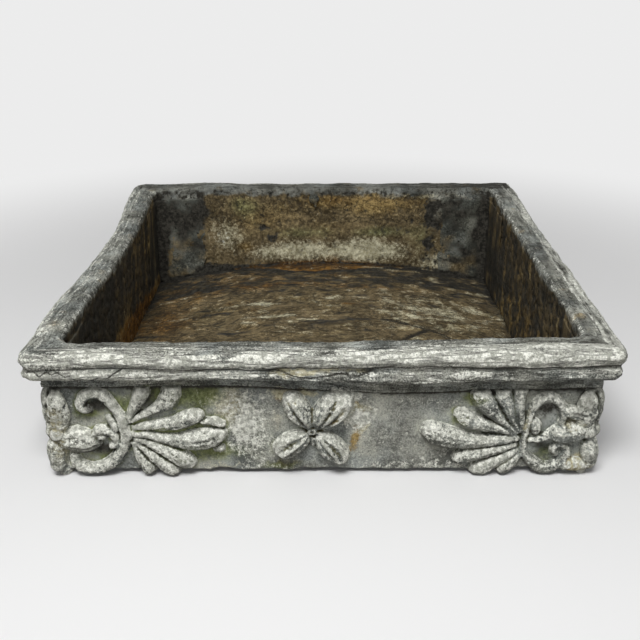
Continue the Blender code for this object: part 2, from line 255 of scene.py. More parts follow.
def settled(places):
    """Where the years have moved each place."""
    x, y, z = places.T.copy()
    at_rim = ramp(z, RIM_BASE, RIM_BASE + 25)
    square = square_reach(x, y)
    near_inside = ramp(square, INNER_HALF + 14, INNER_HALF + 3) * at_rim
    x, y = rounded(x, y, INNER_HALF - INNER_ROUND, near_inside)
    for (side, end), radius in CORNER_ROUNDS.items():
        chosen = (np.sign(x) == side) & (np.sign(y) == end)
        round_x, round_y = rounded(x, y, OUTER_HALF - radius, 1)
        x = np.where(chosen, round_x, x)
        y = np.where(chosen, round_y, y)
    leaning = ramp(-x, 40, INNER_HALF) * np.clip(z / RIM_TOP, 0, 1)
    x = x + bow_at(y) * leaning * (0.75 + 0.25 * ramp(-x, INNER_HALF, OUTER_HALF))
    front = ramp(-y, 150, INNER_HALF)
    sag = bell(x, 68, 52) * ramp(z, 98, 90) * ramp(z, 60, 76)
    low_top = ramp(-x, -120, 0) * ramp(z, 92, 108)
    raised = ramp(-x, -30, 90) * ramp(z, 60, 76)
    raised *= LOWER_ROLL_RISE * ramp(z, 97, 88) + FILLET_RISE * ramp(z, 86, 79)
    z = z - front * (FRONT_SAG * sag + FRONT_TOP_DROP * low_top - raised)
    z = z + BACK_LEFT_RISE * bell(x, -128, 40) * ramp(y, 150, INNER_HALF) * at_rim
    z = z * (1 + END_TILT_SHARE * y / OUTER_HALF + BACK_LIFT_SHARE * ramp(y, 20, INNER_HALF))
    return np.stack((x, y, z), axis=1)


# Where the stains lie on a face, in millimetres: across, up, reach across, reach up, share

FRONT_ALGAE = (
    (-90, 68, 24, 9, 0.75), (-70, 52, 16, 12, 0.35), (-84, 20, 34, 9, 0.62), (-34, 8, 16, 4, 0.6),
    (-52, 40, 16, 24, 0.3), (-126, 72, 5, 6, 0.9), (-118, 43, 22, 3, 0.7), (-176, 55, 12, 5, 0.7),
    (-170, 18, 12, 5, 0.45), (-150, 66, 5, 8, 0.5), (112, 70, 8, 7, 0.75), (102, 52, 6, 6, 0.75),
    (170, 18, 7, 7, 0.5), (172, 110, 12, 5, 0.35),
)
FRONT_CREAM = (
    (-66, 60, 15, 15, 0.95), (-60, 42, 11, 16, 0.6), (-74, 8, 26, 4, 0.45), (24, 54, 9, 10, 1.5),
    (30, 44, 6, 7, 1.2), (-22, 72, 16, 5, 1.4), (-200, 40, 7, 26, 0.75), (194, 13, 6, 6, 0.9),
    (-18, 97.5, 20, 3, 1.4), (5, 100, 8, 2.6, 1.1), (24, 99, 11, 2.8, 0.8), (-192, 92, 24, 3.6, 0.95),
    (-150, 95, 13, 5, 1.2), (-172, 91, 12, 3.6, 0.62), (196, 9, 7, 7, 0.9), (188, 46, 12, 5, 0.5),
    (-185, 12, 14, 6, 0.35), (155, 45, 3, 22, 0.5),
)
FRONT_OCHRE = (
    (28, 41, 5, 3, 1.7), (24, 32, 3.4, 8, 1.7), (20, 22, 3, 3, 1.2), (15, 50, 6, 2.2, 1.3),
    (25, 62, 2.5, 5, 1.1), (-16, 73, 13, 4, 0.7), (-30, 69, 7, 5, 0.7), (-36, 48, 6, 16, 0.3),
    (-30, 9, 14, 4, 0.55), (192, 12, 5, 7, 1),
)
FRONT_SOOT = (
    (-167, 61, 10, 6, 0.75), (-168, 24, 10, 7, 0.75), (-128, 66, 3, 8, 0.5), (-196, 76, 18, 3, 0.4),
    (168, 57, 7, 9, 0.85), (168, 22, 6, 6, 0.6), (190, 56, 6, 3, 0.6), (197, 66, 8, 8, 0.4),
    (-201, 50, 8, 26, 0.22),
)
FRONT_CHALK = (
    (16, 71, 10, 6, 1.9), (26, 50, 9, 10, 1), (-56, 46, 15, 28, 0.66), (-68, 60, 9, 14, 0.45),
    (-184, 93, 44, 7, 0.5), (-10, 93, 70, 6, 0.2), (70, 8, 60, 4, 0.35), (110, 106, 95, 8, 0.3),
    (-100, 104, 40, 8, 0.06), (-146, 42, 8, 10, 0.3), (-100, 38, 30, 10, 0.12), (-5, 106, 60, 5, 0.16),
)
BACK_CREAM = (
    (50, 42, 50, 15, 1), (-20, 42, 58, 13, 0.8), (-62, 40, 28, 12, 0.6), (-112, 62, 22, 22, 0.55),
    (140, 28, 38, 11, 0.55), (118, 109, 44, 6, 1.2), (80, 106, 16, 5, 0.9), (-100, 108, 30, 4, 0.3),
    (-160, 24, 18, 6, 0.45),
)
BACK_OCHRE = (
    (5, 103, 30, 12, 1.05), (62, 97, 52, 15, 1), (-70, 82, 55, 26, 0.45), (30, 70, 70, 14, 0.35),
    (-89, 47, 12, 7, 0.7), (6, 34, 12, 4, 0.75),
)
BACK_RUST = (
    (12, 33, 14, 4, 0.8), (18, 102, 15, 8, 0.5), (66, 102, 30, 5, 0.45),
)
BACK_ALGAE = (
    (-88, 93, 22, 12, 0.45), (66, 64, 36, 8, 0.6), (-20, 64, 50, 8, 0.35), (112, 60, 20, 14, 0.35),
)
BACK_SOOT = (
    (70, 63, 34, 6, 0.32), (-117, 22, 32, 3.5, 1.2), (-72, 18, 24, 2.6, 0.9), (-141, 88, 9, 4, 1.3),
    (-152, 83, 8, 3, 1.1), (-139, 106, 3, 4, 1.3), (-139, 93, 4, 3, 1.2), (-164, 80, 7, 3, 1),
    (-176, 84, 8, 8, 0.9), (-168, 75, 4, 3, 0.9), (-183, 66, 3, 14, 1.1), (-187, 32, 3, 12, 1.1),
    (-69, 69, 4, 3, 0.8), (-57, 57, 5, 4, 1.1), (-69, 84, 3, 2, 0.8), (124, 82, 4, 4, 1.3),
    (133, 94, 10, 3, 1.2), (128, 74, 4, 3, 1), (152, 97, 8, 3, 0.9), (160, 84, 6, 4, 0.7),
    (84, 101, 3, 2, 1), (70, 104, 3, 2, 1), (50, 92, 2, 2, 0.9), (28, 90, 2, 2, 0.9),
    (106, 77, 2, 2, 1), (123, 49, 4, 8, 0.9), (170, 38, 7, 6, 0.9), (179, 60, 4, 8, 0.9),
    (150, 30, 30, 3, 0.6), (139, 12, 22, 4, 1.3),
)
FLOOR_CREAM = (
    (-75, 76, 42, 5, 0.5), (10, 92, 90, 5, 0.22), (112, 68, 56, 26, 0.34), (-55, 43, 42, 5, 0.45),
    (-40, 30, 60, 5, 0.28),
)
FLOOR_RUST = (
    (-60, 130, 80, 10, 0.4), (50, 122, 80, 9, 0.35), (-165, 60, 26, 60, 0.45),
)
FLOOR_SOOT = (
    (12, 21, 28, 8, 0.5), (-90, 9, 22, 2.5, 0.7), (-50, 20, 26, 2.5, 0.7), (-8, 30, 30, 2.5, 0.7),
    (34, 34, 24, 2.5, 0.7), (60, 96, 22, 4, 0.35), (-130, 138, 50, 10, 0.45), (130, 150, 50, 6, 0.5),
    (-105, 62, 14, 3, 0.9),
)
# How far from a crack its gap is written, and how many times broader the floor's cracks are
CRACK_LIMIT = 5.0
FLOOR_CRACK_BREADTH = 4
FRONT_CRACKS = (
    ((-213, 98), (-208, 101), (-203, 95), (-198, 99), (-194, 96.5), (-190, 98.5), (-185, 94.5),
     (-181, 95.5), (-177, 89.5), (-172, 91), (-166, 89), (-161, 93), (-155, 92), (-149, 98),
     (-143, 102)),
    ((-42, 103), (-32, 100), (-19, 94), (-8, 92.5), (5, 95), (14, 96.5), (26, 95), (36, 99)),
)
# Rounds of averaging that a skin's fine relief and its wide relief are measured against
NEAR_ROUNDS = 3
FAR_ROUNDS = 22
STAIN_NAMES = ("soil", "ochre", "rust", "algae", "cream", "chalk_and_highlight", "soot_and_shade", "pits")


def spots(across, up, table):
    """The share that a table of spots gives at each place of a face."""
    share = np.zeros(len(across))
    for middle_across, middle_up, reach_across, reach_up, strength in table:
        spot = bell(across, middle_across, reach_across)
        share = np.maximum(share, strength * spot * bell(up, middle_up, reach_up))
    return share


def across_face(places):
    """How far along its own face each place lies, as if that face were the front one."""
    x, y, _ = places.T
    on_side = np.where(x > 0, y, -y)
    return np.where(np.abs(x) > np.abs(y), on_side, np.where(y < 0, x, -x))


def wavy(places):
    """The floor's places with their rows bent, so that its streaks wander."""
    rows = places.copy()
    rows[:, 1] += 7 * mottle(places, 45, 33, 2)
    return rows


def flow_of(places):
    """Each place, drawn short along its streaks: along the rim, down the sides inside."""
    x, y, z = places.T
    square = square_reach(x, y)
    side = np.abs(x) > np.abs(y)
    on_rim = (z > RIM_BASE + 1) & (square > INNER_HALF + 3)
    inside = square < INNER_HALF + 2.5
    on_floor = inside & (z < floor_level(x) + 1.5) & (square < INNER_HALF - 1.5)
    wide = np.where(inside, 1.6, 1)
    if on_floor.any():
        y = np.where(on_floor, wavy(places)[:, 1], y)
    flow_x = x / np.where(on_rim & ~side, 8, np.where(on_floor, 3, wide))
    flow_y = y / np.where(on_rim & side, 8, wide)
    flow_z = z / np.where(inside & side & ~on_floor, 5, wide)
    return np.stack((flow_x, flow_y, flow_z), axis=1)


def crease_rise(x, y):
    """How far the crease between the rim's two rolls wanders up at each place."""
    return 2.4 * mottle(np.stack((x, y, 0 * x), axis=1), 46, 41, 3)


def outside_stains(places, facings, fine, wide, levels):
    """The share of each stain on the rim, the panels and their castings. The chalk share also holds
    painted highlights, and the soot share painted shade.
    """
    x, y, z = places.T
    chalk_level, shelter, _ = levels
    across = across_face(places)
    square = square_reach(x, y)
    front = ramp(-y, INNER_HALF, FACE_HALF - 2)
    other = 1 - front
    broad = mottle(places, 45, 3)
    patchy = mottle(places, 13, 5)
    torn_x = x + 4 * mottle(places, 8, 61, 4)
    torn_z = z + 4 * mottle(places, 8, 63, 4)
    on_rim = ramp(z, RIM_BASE - 1, RIM_BASE + 1)
    low_face = 1 - on_rim
    cast = float(chalk_level > 0.15)
    crest = np.clip(wide / 0.6, -1, 1) * (1 - 0.6 * on_rim)
    nook = np.clip((-wide - 0.12) / 0.5, 0, 1)
    bump = np.clip(fine / 0.15, -1, 1)
    # lit: upward faces, painted paler below as a painted highlight; under: undersides, painted darker as
    # painted shade with some dirt
    lit = ramp(facings[:, 2], 0.05, 0.75) * low_face
    under = ramp(-facings[:, 2], 0.05, 0.7) * low_face
    outer = ramp(square, INNER_HALF + 11, INNER_HALF + 16)
    upper_roll = ramp(z, CREASE_UP - 1, CREASE_UP + 2) * outer
    lower_roll = ramp(z, RIM_BASE + FILLET_HEIGHT, RIM_BASE + FILLET_HEIGHT + 3) * outer
    lower_roll *= 1 - upper_roll
    fillet = on_rim * ramp(z, RIM_BASE + FILLET_HEIGHT + 1, RIM_BASE + FILLET_HEIGHT - 1)
    top = ramp(facings[:, 2], 0.86, 0.97) * ramp(z, RIM_TOP - 4, RIM_TOP - 1)
    layers = mottle(flow_of(places), 8, 19)

    back_top = ramp(y, INNER_HALF - 8, INNER_HALF) * ramp(z, RIM_TOP - 14, RIM_TOP - 6)
    back_top *= ramp(square, OUTER_HALF - 4, OUTER_HALF - 9)
    # The lower roll is painted paler the more it faces up: a painted highlight on its upper half.
    rim_chalk = 0.20 + 0.44 * upper_roll + lower_roll * (0.17 + 0.28 * facings[:, 2])
    # The fillet, in the lower roll's shadow, is painted a little darker: painted shade.
    rim_chalk += 0.62 * layers * (upper_roll + 0.8 * lower_roll) - 0.14 * top - 0.12 * fillet
    rim_chalk += lower_roll * (0.54 * ramp(-x, 60, 150) - 0.24 * ramp(x, 60, 150))
    rim_chalk += 0.24 * fillet * ramp(-x, 90, 150) * (0.6 + layers)
    rim_chalk += upper_roll * ramp(x, 60, 140) * (0.34 + 0.3 * layers + 0.5 * patchy)
    rim_chalk -= 0.12 * other * (upper_roll + lower_roll) + 0.22 * back_top
    rim_chalk += 0.35 * ramp(x, 195, 215) * ramp(broad, -0.1, 0.3)
    # Round the castings (shelter) the panel loses chalk and gains soot: dirt and painted shade.
    chalk_and_highlight = rim_chalk * on_rim + chalk_level * low_face - 0.25 * shelter
    # Painted highlight on upward faces; painted shade on undersides and in the castings' hollows.
    chalk_and_highlight += (0.18 + 0.16 * cast) * lit - (0.26 + 0.14 * cast) * under - 0.35 * cast * nook
    chalk_and_highlight += 0.10 * bump + (0.18 + 0.34 * cast) * crest + 0.16 * patchy + 0.12 * broad
    white = spots(torn_x, torn_z, FRONT_CHALK) * front
    chalk_and_highlight += white

    cream = spots(torn_x, torn_z, FRONT_CREAM) * front + 0.10 * patchy + 0.12 * cast
    cream += other * low_face * (0.10 + 0.5 * mottle(places, 30, 11))
    cream += 0.5 * other * lower_roll * ramp(broad, 0.05, 0.35)

    algae = 1.35 * spots(torn_x, torn_z, FRONT_ALGAE) * front * (1 + 0.3 * patchy)
    algae += (0.25 + 0.40 * cast) * nook * low_face
    algae += shelter * front * (0.45 + 0.75 * ramp(-x, 30, 60)) * (1 + patchy)
    algae += other * low_face * (0.12 + 0.7 * mottle(places, 38, 17))
    ochre = spots(torn_x, torn_z, FRONT_OCHRE) * front + other * (0.8 * patchy - 0.15)
    ochre += 0.85 * nook * low_face * cast * bell(across, -6, 34)

    # Dark share, part soot and part painted shade: hollows, undersides, the castings' surroundings and
    # the fillet are painted darker where shade falls.
    soot_and_shade = 0.16 * np.clip(-fine / 0.22, 0, 1) + (0.25 + 0.35 * low_face) * nook
    soot_and_shade += 0.45 * shelter + 0.02 * fillet + 0.06 * broad + 0.38 * under + 0.45 * back_top
    soot_and_shade += 0.10 * patchy * low_face + 0.30 * top * ramp(x, 60, 200) * (1 - layers)
    soot_and_shade += (spots(torn_x, torn_z, FRONT_SOOT) * front - 0.6 * white) * low_face
    # Painted shadow under the rim's overhang, on the top of the panel.
    soot_and_shade += 0.30 * low_face * ramp(z, RIM_BASE - 7, RIM_BASE)
    soot_and_shade += 0.3 * bell(np.abs(across), FACE_HALF, 5) * low_face * (1 - cast)

    nothing = np.zeros(len(x))
    return np.stack((nothing, ochre, nothing, algae, cream, chalk_and_highlight, soot_and_shade, nothing))


def inside_stains(places, facings, fine, wide, levels):
    """The share of each stain on the walls and floor inside. The soot share also grows in hollows, in
    the inner corners, along the foot of the walls and on the floor along the walls.
    """
    x, y, z = places.T
    soil_level = levels[2]
    across = across_face(places)
    above_floor = z - floor_level(x)
    on_floor = ramp(above_floor, 2.5, 0.5)
    on_wall = 1 - on_floor
    back = on_wall * (y > np.abs(x))
    left = on_wall * (-x > np.abs(y))
    right = on_wall * (x > np.abs(y))
    front = on_wall * (-y > np.abs(x))
    broad = mottle(places, 45, 3)
    patchy = mottle(places, 13, 5)
    nook = np.clip(-wide / 0.5, 0, 1)
    torn_x = x + 5 * mottle(places, 7, 61, 4)
    torn_z = z + 5 * mottle(places, 7, 63, 4)
    down_streaks = mottle(places, (16, 16, 70), 29, 4) + 0.4 * patchy
    across_streaks = mottle(wavy(places), (36, 11, 11), 31, 4)
    thin_streaks = mottle(wavy(places), (17, 4.5, 4.5), 37, 3)
    by_wall = bell(square_reach(x, y), INNER_HALF, 11)
    in_corner = bell(np.abs(across), INNER_HALF, 8) * on_wall
    foot = bell(above_floor, 0, 5) * on_wall
    left_tide = 12 + 26 * ramp(y, 160, -40) + 5 * patchy
    right_tide = 20 + 30 * ramp(y, 160, -40) + 5 * patchy
    low_left = left * ramp(above_floor, left_tide + 5, left_tide - 5)
    low_right = right * ramp(above_floor, right_tide + 4, right_tide - 4)
    arch_depth = 26 * bell(x, -2, 62) + 3 * patchy
    bare = (ramp(-x, 130, 142) + ramp(x, 114, 126)) * back * ramp(z, 30, 52)

    soil = soil_level - 0.75 * bare * ramp(z, 56, 88)
    ochre = 0.10 * patchy + 0.15 * broad + (back + 0.6 * front) * spots(x, z, BACK_OCHRE)
    ochre += left * (0.15 + 0.8 * down_streaks) * ramp(y, -60, 90)
    ochre += low_left * (0.85 + 0.5 * across_streaks) + low_right * (0.25 + 0.5 * patchy)
    ochre += right * (0.20 + 0.4 * down_streaks) + on_floor * (0.10 + 0.5 * across_streaks)
    rust = back * spots(x, z, BACK_RUST) + on_floor * spots(x, y, FLOOR_RUST) + 0.10 * patchy
    rust += 1.3 * left * bell(above_floor, 2, 26) * bell(y, 50, 75)
    rust += 0.40 * low_left * (1 + across_streaks) * ramp(y, -100, -20)
    rust += 0.35 * on_floor * ramp(y, 90, 150) * (0.6 + patchy)
    rust += 1.6 * back * bell(above_floor, 0, 4) * bell(x, -4, 76)
    arch = on_floor * ramp(y, INNER_HALF - arch_depth - 3, INNER_HALF - arch_depth + 3)
    rust += 1.5 * arch * bell(x, -4, 76)
    rust += front * foot * 0.5 + on_floor * (0.25 * across_streaks + 0.15 * ramp(-x, 0, 120))
    algae = (back + 0.5 * front) * spots(x, z, BACK_ALGAE) + 0.1 * patchy + 0.15 * broad
    cream = (back + 0.6 * front) * spots(x, z, BACK_CREAM) + 0.12 * patchy
    cream += 0.35 * down_streaks * (left + right * ramp(y, 60, -60))
    cream += 0.35 * low_right * across_streaks - 0.3 * bare * ramp(z, 104, 98)
    cream += 0.45 * bare * ramp(z, 50, 26) * (0.6 + 1.5 * patchy)
    cream += on_floor * (spots(x, y, FLOOR_CREAM) + 0.35 * across_streaks + 0.12 * thin_streaks)
    cream += on_floor * (0.05 + 0.12 * ramp(x, 20, 110) + 0.25 * patchy)
    chalk_and_highlight = 0.08 * patchy - 0.1 + 0.35 * back * bell(x, -118, 16) * bell(z, 56, 14)
    chalk_and_highlight += (0.30 - 0.42 * back) * ramp(z, RIM_TOP - 12, RIM_TOP - 3)
    chalk_and_highlight += 0.22 * bare * ramp(z, 88, 100) * (x > 0)
    # Darker in hollows and fine creases.
    soot_and_shade = 0.10 * broad - 0.06 + 0.30 * nook + 0.20 * np.clip(-fine / 0.25, 0, 1)
    soot_and_shade += 1.2 * back * spots(torn_x, torn_z, BACK_SOOT) + on_floor * spots(x, y, FLOOR_SOOT)
    soot_and_shade += 0.35 * back * ramp(z, RIM_TOP - 12, RIM_TOP - 4) * ramp(x, 100, 50)
    soot_and_shade += bare * (0.20 + 0.34 * bell(z, 82, 12) + 0.5 * patchy)
    soot_and_shade += 0.26 * bare * (x < 0) + back * 0.5 * ramp(np.abs(x), 176, 186)
    soot_and_shade += 0.9 * back * bell(above_floor, 0, 2.4) * ramp(np.abs(x), 30, 80)
    soot_and_shade += 0.8 * on_floor * bell(y, INNER_HALF - arch_depth - 3, 3) - 0.75 * low_left - 0.25 * low_right
    soot_and_shade += left * (0.60 - 0.5 * down_streaks) + right * (0.52 - 0.5 * down_streaks)
    # Darker in the inner corners and along the foot of the walls.
    soot_and_shade += 0.50 * in_corner + 0.25 * foot
    soot_and_shade += 0.30 * right * ramp(z, 85, 30) + 0.15 * front
    soot_and_shade += 0.22 * left * ramp(y, 60, -120) + 0.10 * back * ramp(np.abs(x), 100, 150)
    soot_and_shade += on_floor * (0.5 * by_wall - 0.45 * across_streaks - 0.45 * thin_streaks - 0.25 * patchy)
    soot_and_shade += on_floor * (0.60 * ramp(y, 80, 160) - 0.08) * (1 - arch)
    pits = 0.35 * back + 0.15 * (left + right + front) + 0.5 * bare
    pits += 0.9 * back * spots(torn_x, torn_z, BACK_SOOT)
    pits += 0.6 * back * bell(x, 150, 45) * ramp(z, 60, 40)
    shares = np.stack((soil, ochre, rust, algae, cream, chalk_and_highlight, soot_and_shade, pits))
    shares[1:5] *= 0.45 + 0.55 * ramp(soil_level, 0.5, 1.2)
    return shares


def crack_gaps(places):
    """The distance of each place from the nearest crack, and its height over the rim's crease."""
    x, y, z = places.T
    square = square_reach(x, y)
    gap = np.full(len(x), CRACK_LIMIT)
    on_front = (-y > INNER_HALF + 8) & (z > RIM_BASE + 4)
    for route in FRONT_CRACKS:
        gap[on_front] = np.minimum(gap[on_front], gap_to_route(x[on_front], z[on_front], route))
    on_floor = (z < floor_level(x) + 1.5) & (square < INNER_HALF - 2)
    for route in FLOOR_CRACKS:
        apart = gap_to_route(x[on_floor], y[on_floor], route)
        gap[on_floor] = np.minimum(gap[on_floor], apart / FLOOR_CRACK_BREADTH)
    rise = np.clip(z - CREASE_UP - crease_rise(x, y), -CRACK_LIMIT, CRACK_LIMIT)
    rise = np.where((square > INNER_HALF + 10) & (z > RIM_BASE + 4), rise, CRACK_LIMIT)
    return gap, rise


def stained(mesh, chalk_level, shelter=0, soil_level=1.2, soot_level=0, flow=None):
    """Write a piece's stains, with painted shade and highlights among them, its cracks and streak
    directions on its mesh, before it settles.
    """
    places = places_of(mesh)
    facings = facings_of(mesh)
    ends = neighbours_of(mesh)
    near = averaged(places, ends, NEAR_ROUNDS)
    far = averaged(near, ends, FAR_ROUNDS)
    fine = ((places - near) * facings).sum(axis=1)
    wide = ((places - far) * facings).sum(axis=1)
    x, y, z = places.T
    square = square_reach(x, y)
    edge = RIM_TOP - 9 + 4 * mottle(places, 10, 7)
    inside = ramp(square, INNER_HALF + 3.5, INNER_HALF + 0.5)
    inside *= ramp(z, edge + 8, edge - 6)
    shares = np.zeros((len(STAIN_NAMES), len(places)))
    shelter = shelter + 0 * x
    soil_level = soil_level + 0 * x
    for stains, part in ((outside_stains, 1 - inside), (inside_stains, inside)):
        chosen = part > 0
        if chosen.any():
            levels = (chalk_level, shelter[chosen], soil_level[chosen])
            here = stains(places[chosen], facings[chosen], fine[chosen], wide[chosen], levels)
            shares[:, chosen] += here * part[chosen]
    shares[STAIN_NAMES.index("soot_and_shade")] += soot_level
    gap, rise = crack_gaps(places)
    for name, share in zip((*STAIN_NAMES, "crack", "crease"), (*np.clip(shares, 0, 1.5), gap, rise)):
        layer = mesh.attributes.new(name, "FLOAT", "POINT")
        layer.data.foreach_set("value", share)
    layer = mesh.attributes.new("flow", "FLOAT_VECTOR", "POINT")
    flow = flow_of(places) if flow is None else flow
    layer.data.foreach_set("vector", (flow * MM).ravel())


def weathered(mesh, wear, seed):
    """Move a skin in and out by layers of noise, each a (depth, size)."""
    places = places_of(mesh)
    facings = facings_of(mesh)
    move = np.zeros(len(places))
    for number, (depth, size) in enumerate(wear):
        move += depth * mottle(places, size, seed + number)
    put_places(mesh, places + facings * move[:, None])


def completed(piece, material, slot, *nodes):
    """Settle a stained piece, bring it to metres and set it in place of its node."""
    mesh = piece.data
    places = settled(places_of(mesh))
    places[:, 2] = np.maximum(places[:, 2], 0)
    put_places(mesh, places * MM)
    mesh.materials.clear()
    mesh.materials.append(material)
    mesh.shade_smooth()
    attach(piece, BODY)
    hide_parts(*nodes)
    return piece


# Lead finishes

RAIL_LEAD = ((0.080, 0.083, 0.073), (0.260, 0.266, 0.240), (0.490, 0.497, 0.450))
PANEL_LEAD = ((0.135, 0.140, 0.128), (0.340, 0.349, 0.321), (0.540, 0.549, 0.497))
CASTING_LEAD = ((0.075, 0.078, 0.069), (0.275, 0.282, 0.253), (0.530, 0.538, 0.488))
FLOOR_LEAD = ((0.045, 0.036, 0.022), (0.130, 0.108, 0.070), (0.280, 0.245, 0.170))
STRAP_LEAD = ((0.036, 0.037, 0.030), (0.088, 0.091, 0.076), (0.200, 0.205, 0.178))
# Each stain's deep and pale tone, how far the grain breaks it up, and how soft its edge is
STAINS = {
    "soil": ((0.055, 0.040, 0.018), (0.250, 0.192, 0.100), 1.0, 0.30),
    "ochre": ((0.105, 0.062, 0.016), (0.500, 0.365, 0.150), 1.6, 0.40),
    "rust": ((0.032, 0.014, 0.004), (0.275, 0.138, 0.026), 1.8, 0.36),
    "algae": ((0.078, 0.095, 0.034), (0.330, 0.365, 0.160), 1.4, 0.46),
    "cream": ((0.300, 0.270, 0.160), (0.740, 0.705, 0.510), 2.4, 0.30),
    # The chalk tone also paints highlights, and the soot tone painted shade, where their shares say.
    "chalk_and_highlight": ((0.390, 0.396, 0.342), (0.900, 0.905, 0.820), 3.6, 0.24),
    "soot_and_shade": ((0.010, 0.009, 0.006), (0.060, 0.056, 0.045), 2.6, 0.34),
}
SMEARED = ("soil", "ochre", "rust", "algae", "cream")
HOLLOW_TONE = (0.018, 0.016, 0.011)


class Paint:
    """A material. Each call adds a node and hands back one of its outputs."""

    def __init__(self, name):
        self.material = bpy.data.materials.new(name)
        self.material.use_nodes = True
        self.nodes = self.material.node_tree.nodes
        self.links = self.material.node_tree.links
        self.shader = self.nodes["Principled BSDF"]
        self.place = self.add("ShaderNodeTexCoord", {}, "Object")

    def add(self, kind, sockets, output=0, **settings):
        """A node with its settings, each socket given a number, a colour or a link."""
        item = self.nodes.new(kind)
        for key, value in settings.items():
            setattr(item, key, value)
        for socket, value in sockets.items():
            if isinstance(value, bpy.types.NodeSocket):
                self.links.new(value, item.inputs[socket])
            else:
                item.inputs[socket].default_value = value
        return item.outputs[output]

    def written(self, name, output="Fac"):
        """A share or direction written on the mesh."""
        settings = {"attribute_type": "GEOMETRY", "attribute_name": name}
        return self.add("ShaderNodeAttribute", {}, output, **settings)

    def noise(self, place, size, detail=4, rough=0.6):
        """Noise with features of a size in millimetres."""
        sockets = {"Vector": place, "Scale": 1 / (size * MM), "Detail": detail, "Roughness": rough}
        return self.add("ShaderNodeTexNoise", sockets)

    def math(self, operation, *values):
        """One step of arithmetic on values."""
        return self.add("ShaderNodeMath", dict(enumerate(values)), operation=operation)

    def total(self, first, second, factor):
        """first plus second times a factor."""
        return self.math("MULTIPLY_ADD", second, factor, first)

    def span(self, value, low, high, to_low=0.0, to_high=1.0):
        """A value from low to high turned to another range, smooth at its ends."""
        sockets = {"Value": value, "From Min": low, "From Max": high, "To Min": to_low, "To Max": to_high}
        return self.add("ShaderNodeMapRange", sockets, interpolation_type="SMOOTHSTEP")

    def mix(self, share, under, over, blend="MIX"):
        """One colour laid over another by a share."""
        sockets = {0: share}
        for socket, colour in ((6, under), (7, over)):
            sockets[socket] = (*colour, 1) if isinstance(colour, tuple) else colour
        return self.add("ShaderNodeMix", sockets, 2, data_type="RGBA", blend_type=blend)

    def connect(self, output, socket):
        """Lead an output to the shader."""
        self.links.new(output, self.shader.inputs[socket])


def lead_finish(name, tones, grit, seams, broken=1.0):
    """Old lead: mottled grey under its stains and its painted shade and highlights, gritty and pitted,
    with seams along its streaks.
    """
    paint = Paint(name)
    place = paint.place
    flow = paint.written("flow", "Vector")
    grain = paint.noise(place, 1.2, 4, 0.65)
    speck = paint.noise(place, 3.6, 5, 0.68)
    streak = paint.noise(flow, 2.0, 5, 0.66)
    cloud = paint.noise(place, 26)
    medley = paint.total(paint.math("MULTIPLY", grain, 1.5), speck, 1.2)
    ragged = paint.total(-0.5, paint.total(medley, streak, 1.3), 0.25)
    smear = paint.total(paint.total(paint.math("MULTIPLY", cloud, 0.3), speck, 0.35), streak, 0.35)
    lightness = paint.total(paint.total(-0.5, ragged, 1.4), cloud, 1.0)
    dark, mid, light = tones
    colour = paint.mix(paint.span(lightness, -0.20, 0.04), dark, mid)
    colour = paint.mix(paint.span(lightness, -0.02, 0.22), colour, light)
    tint = paint.span(paint.noise(place, 38, 3, 0.5), 0.38, 0.62)
    tint = paint.mix(tint, (0.965, 1.0, 1.02), (1.01, 1.0, 0.955))
    colour = paint.mix(1.0, colour, tint, "MULTIPLY")
    for stain, (deep, pale, spread, edge) in STAINS.items():
        cover = paint.total(paint.written(stain), ragged, broken * spread)
        cover = paint.span(cover, 0.5 - edge, 0.5 + edge)
        tone = smear if stain in SMEARED else speck
        colour = paint.mix(cover, colour, paint.mix(paint.span(tone, 0.40, 0.61), deep, pale))
    holes = {"Vector": place, "Scale": 1 / (9 * MM), "Randomness": 1.0}
    holes = paint.add("ShaderNodeTexVoronoi", holes, "Distance")
    pitted = paint.span(paint.total(holes, grain, 0.5), 0.33, 0.42, 1.0, 0.0)
    crack = paint.total(paint.written("crack"), ragged, 2.5)
    crease = paint.math("ABSOLUTE", paint.total(paint.written("crease"), ragged, 2.5))
    seam = paint.math("ABSOLUTE", paint.total(-0.5, paint.noise(flow, 6, 3, 0.55), 1.0))
    seam = paint.span(seam, 0.015, 0.06, seams, 0.0)
    hollows = paint.math("MULTIPLY", pitted, paint.written("pits"))
    for line in (
        paint.span(crack, 0.3, 1.1, 0.9, 0.0), paint.span(crease, 0.2, 0.9, 0.85, 0.0),
        paint.math("MULTIPLY", seam, paint.span(speck, 0.44, 0.56)),
    ):
        hollows = paint.math("MAXIMUM", hollows, line)
    colour = paint.mix(hollows, colour, HOLLOW_TONE)
    shade = paint.span(grain, 0.3, 0.7, 1 - grit, 1 + grit)
    grey = paint.add("ShaderNodeCombineColor", {0: shade, 1: shade, 2: shade})
    paint.connect(paint.mix(1.0, colour, grey, "MULTIPLY"), "Base Color")
    paint.connect(paint.span(speck, 0.35, 0.65, 0.70, 0.92), "Roughness")
    paint.shader.inputs["Metallic"].default_value = 0.0
    paint.shader.inputs["Specular IOR Level"].default_value = 0.3
    height = paint.total(paint.total(grain, speck, 1.6), streak, 1.2)
    height = paint.total(height, hollows, -1.2)
    bump = {"Strength": 0.72, "Distance": 0.9 * MM, "Height": height}
    paint.connect(paint.add("ShaderNodeBump", bump), "Normal")
    return paint.material


# Body: the rim and the walls as one moulded ring, weathered whole, then cut into its castings

BODY_CELL = 1.1
SEAM = RIM_BASE - 1.8
UPPER_ROLL_RADIUS = 6.9
LOWER_ROLL_RADIUS = 6.6
FILLET_HEIGHT = 10.4
FILLET_PROUD = 4
TOP_EDGE_RADIUS = 4
LOWER_ROLL_INSET = 1.6
CREASE_INSET = 2.6
CREASE_UP = RIM_BASE + 24.2
SHELTER_HALF = 210
SHELTER_TOP = 90


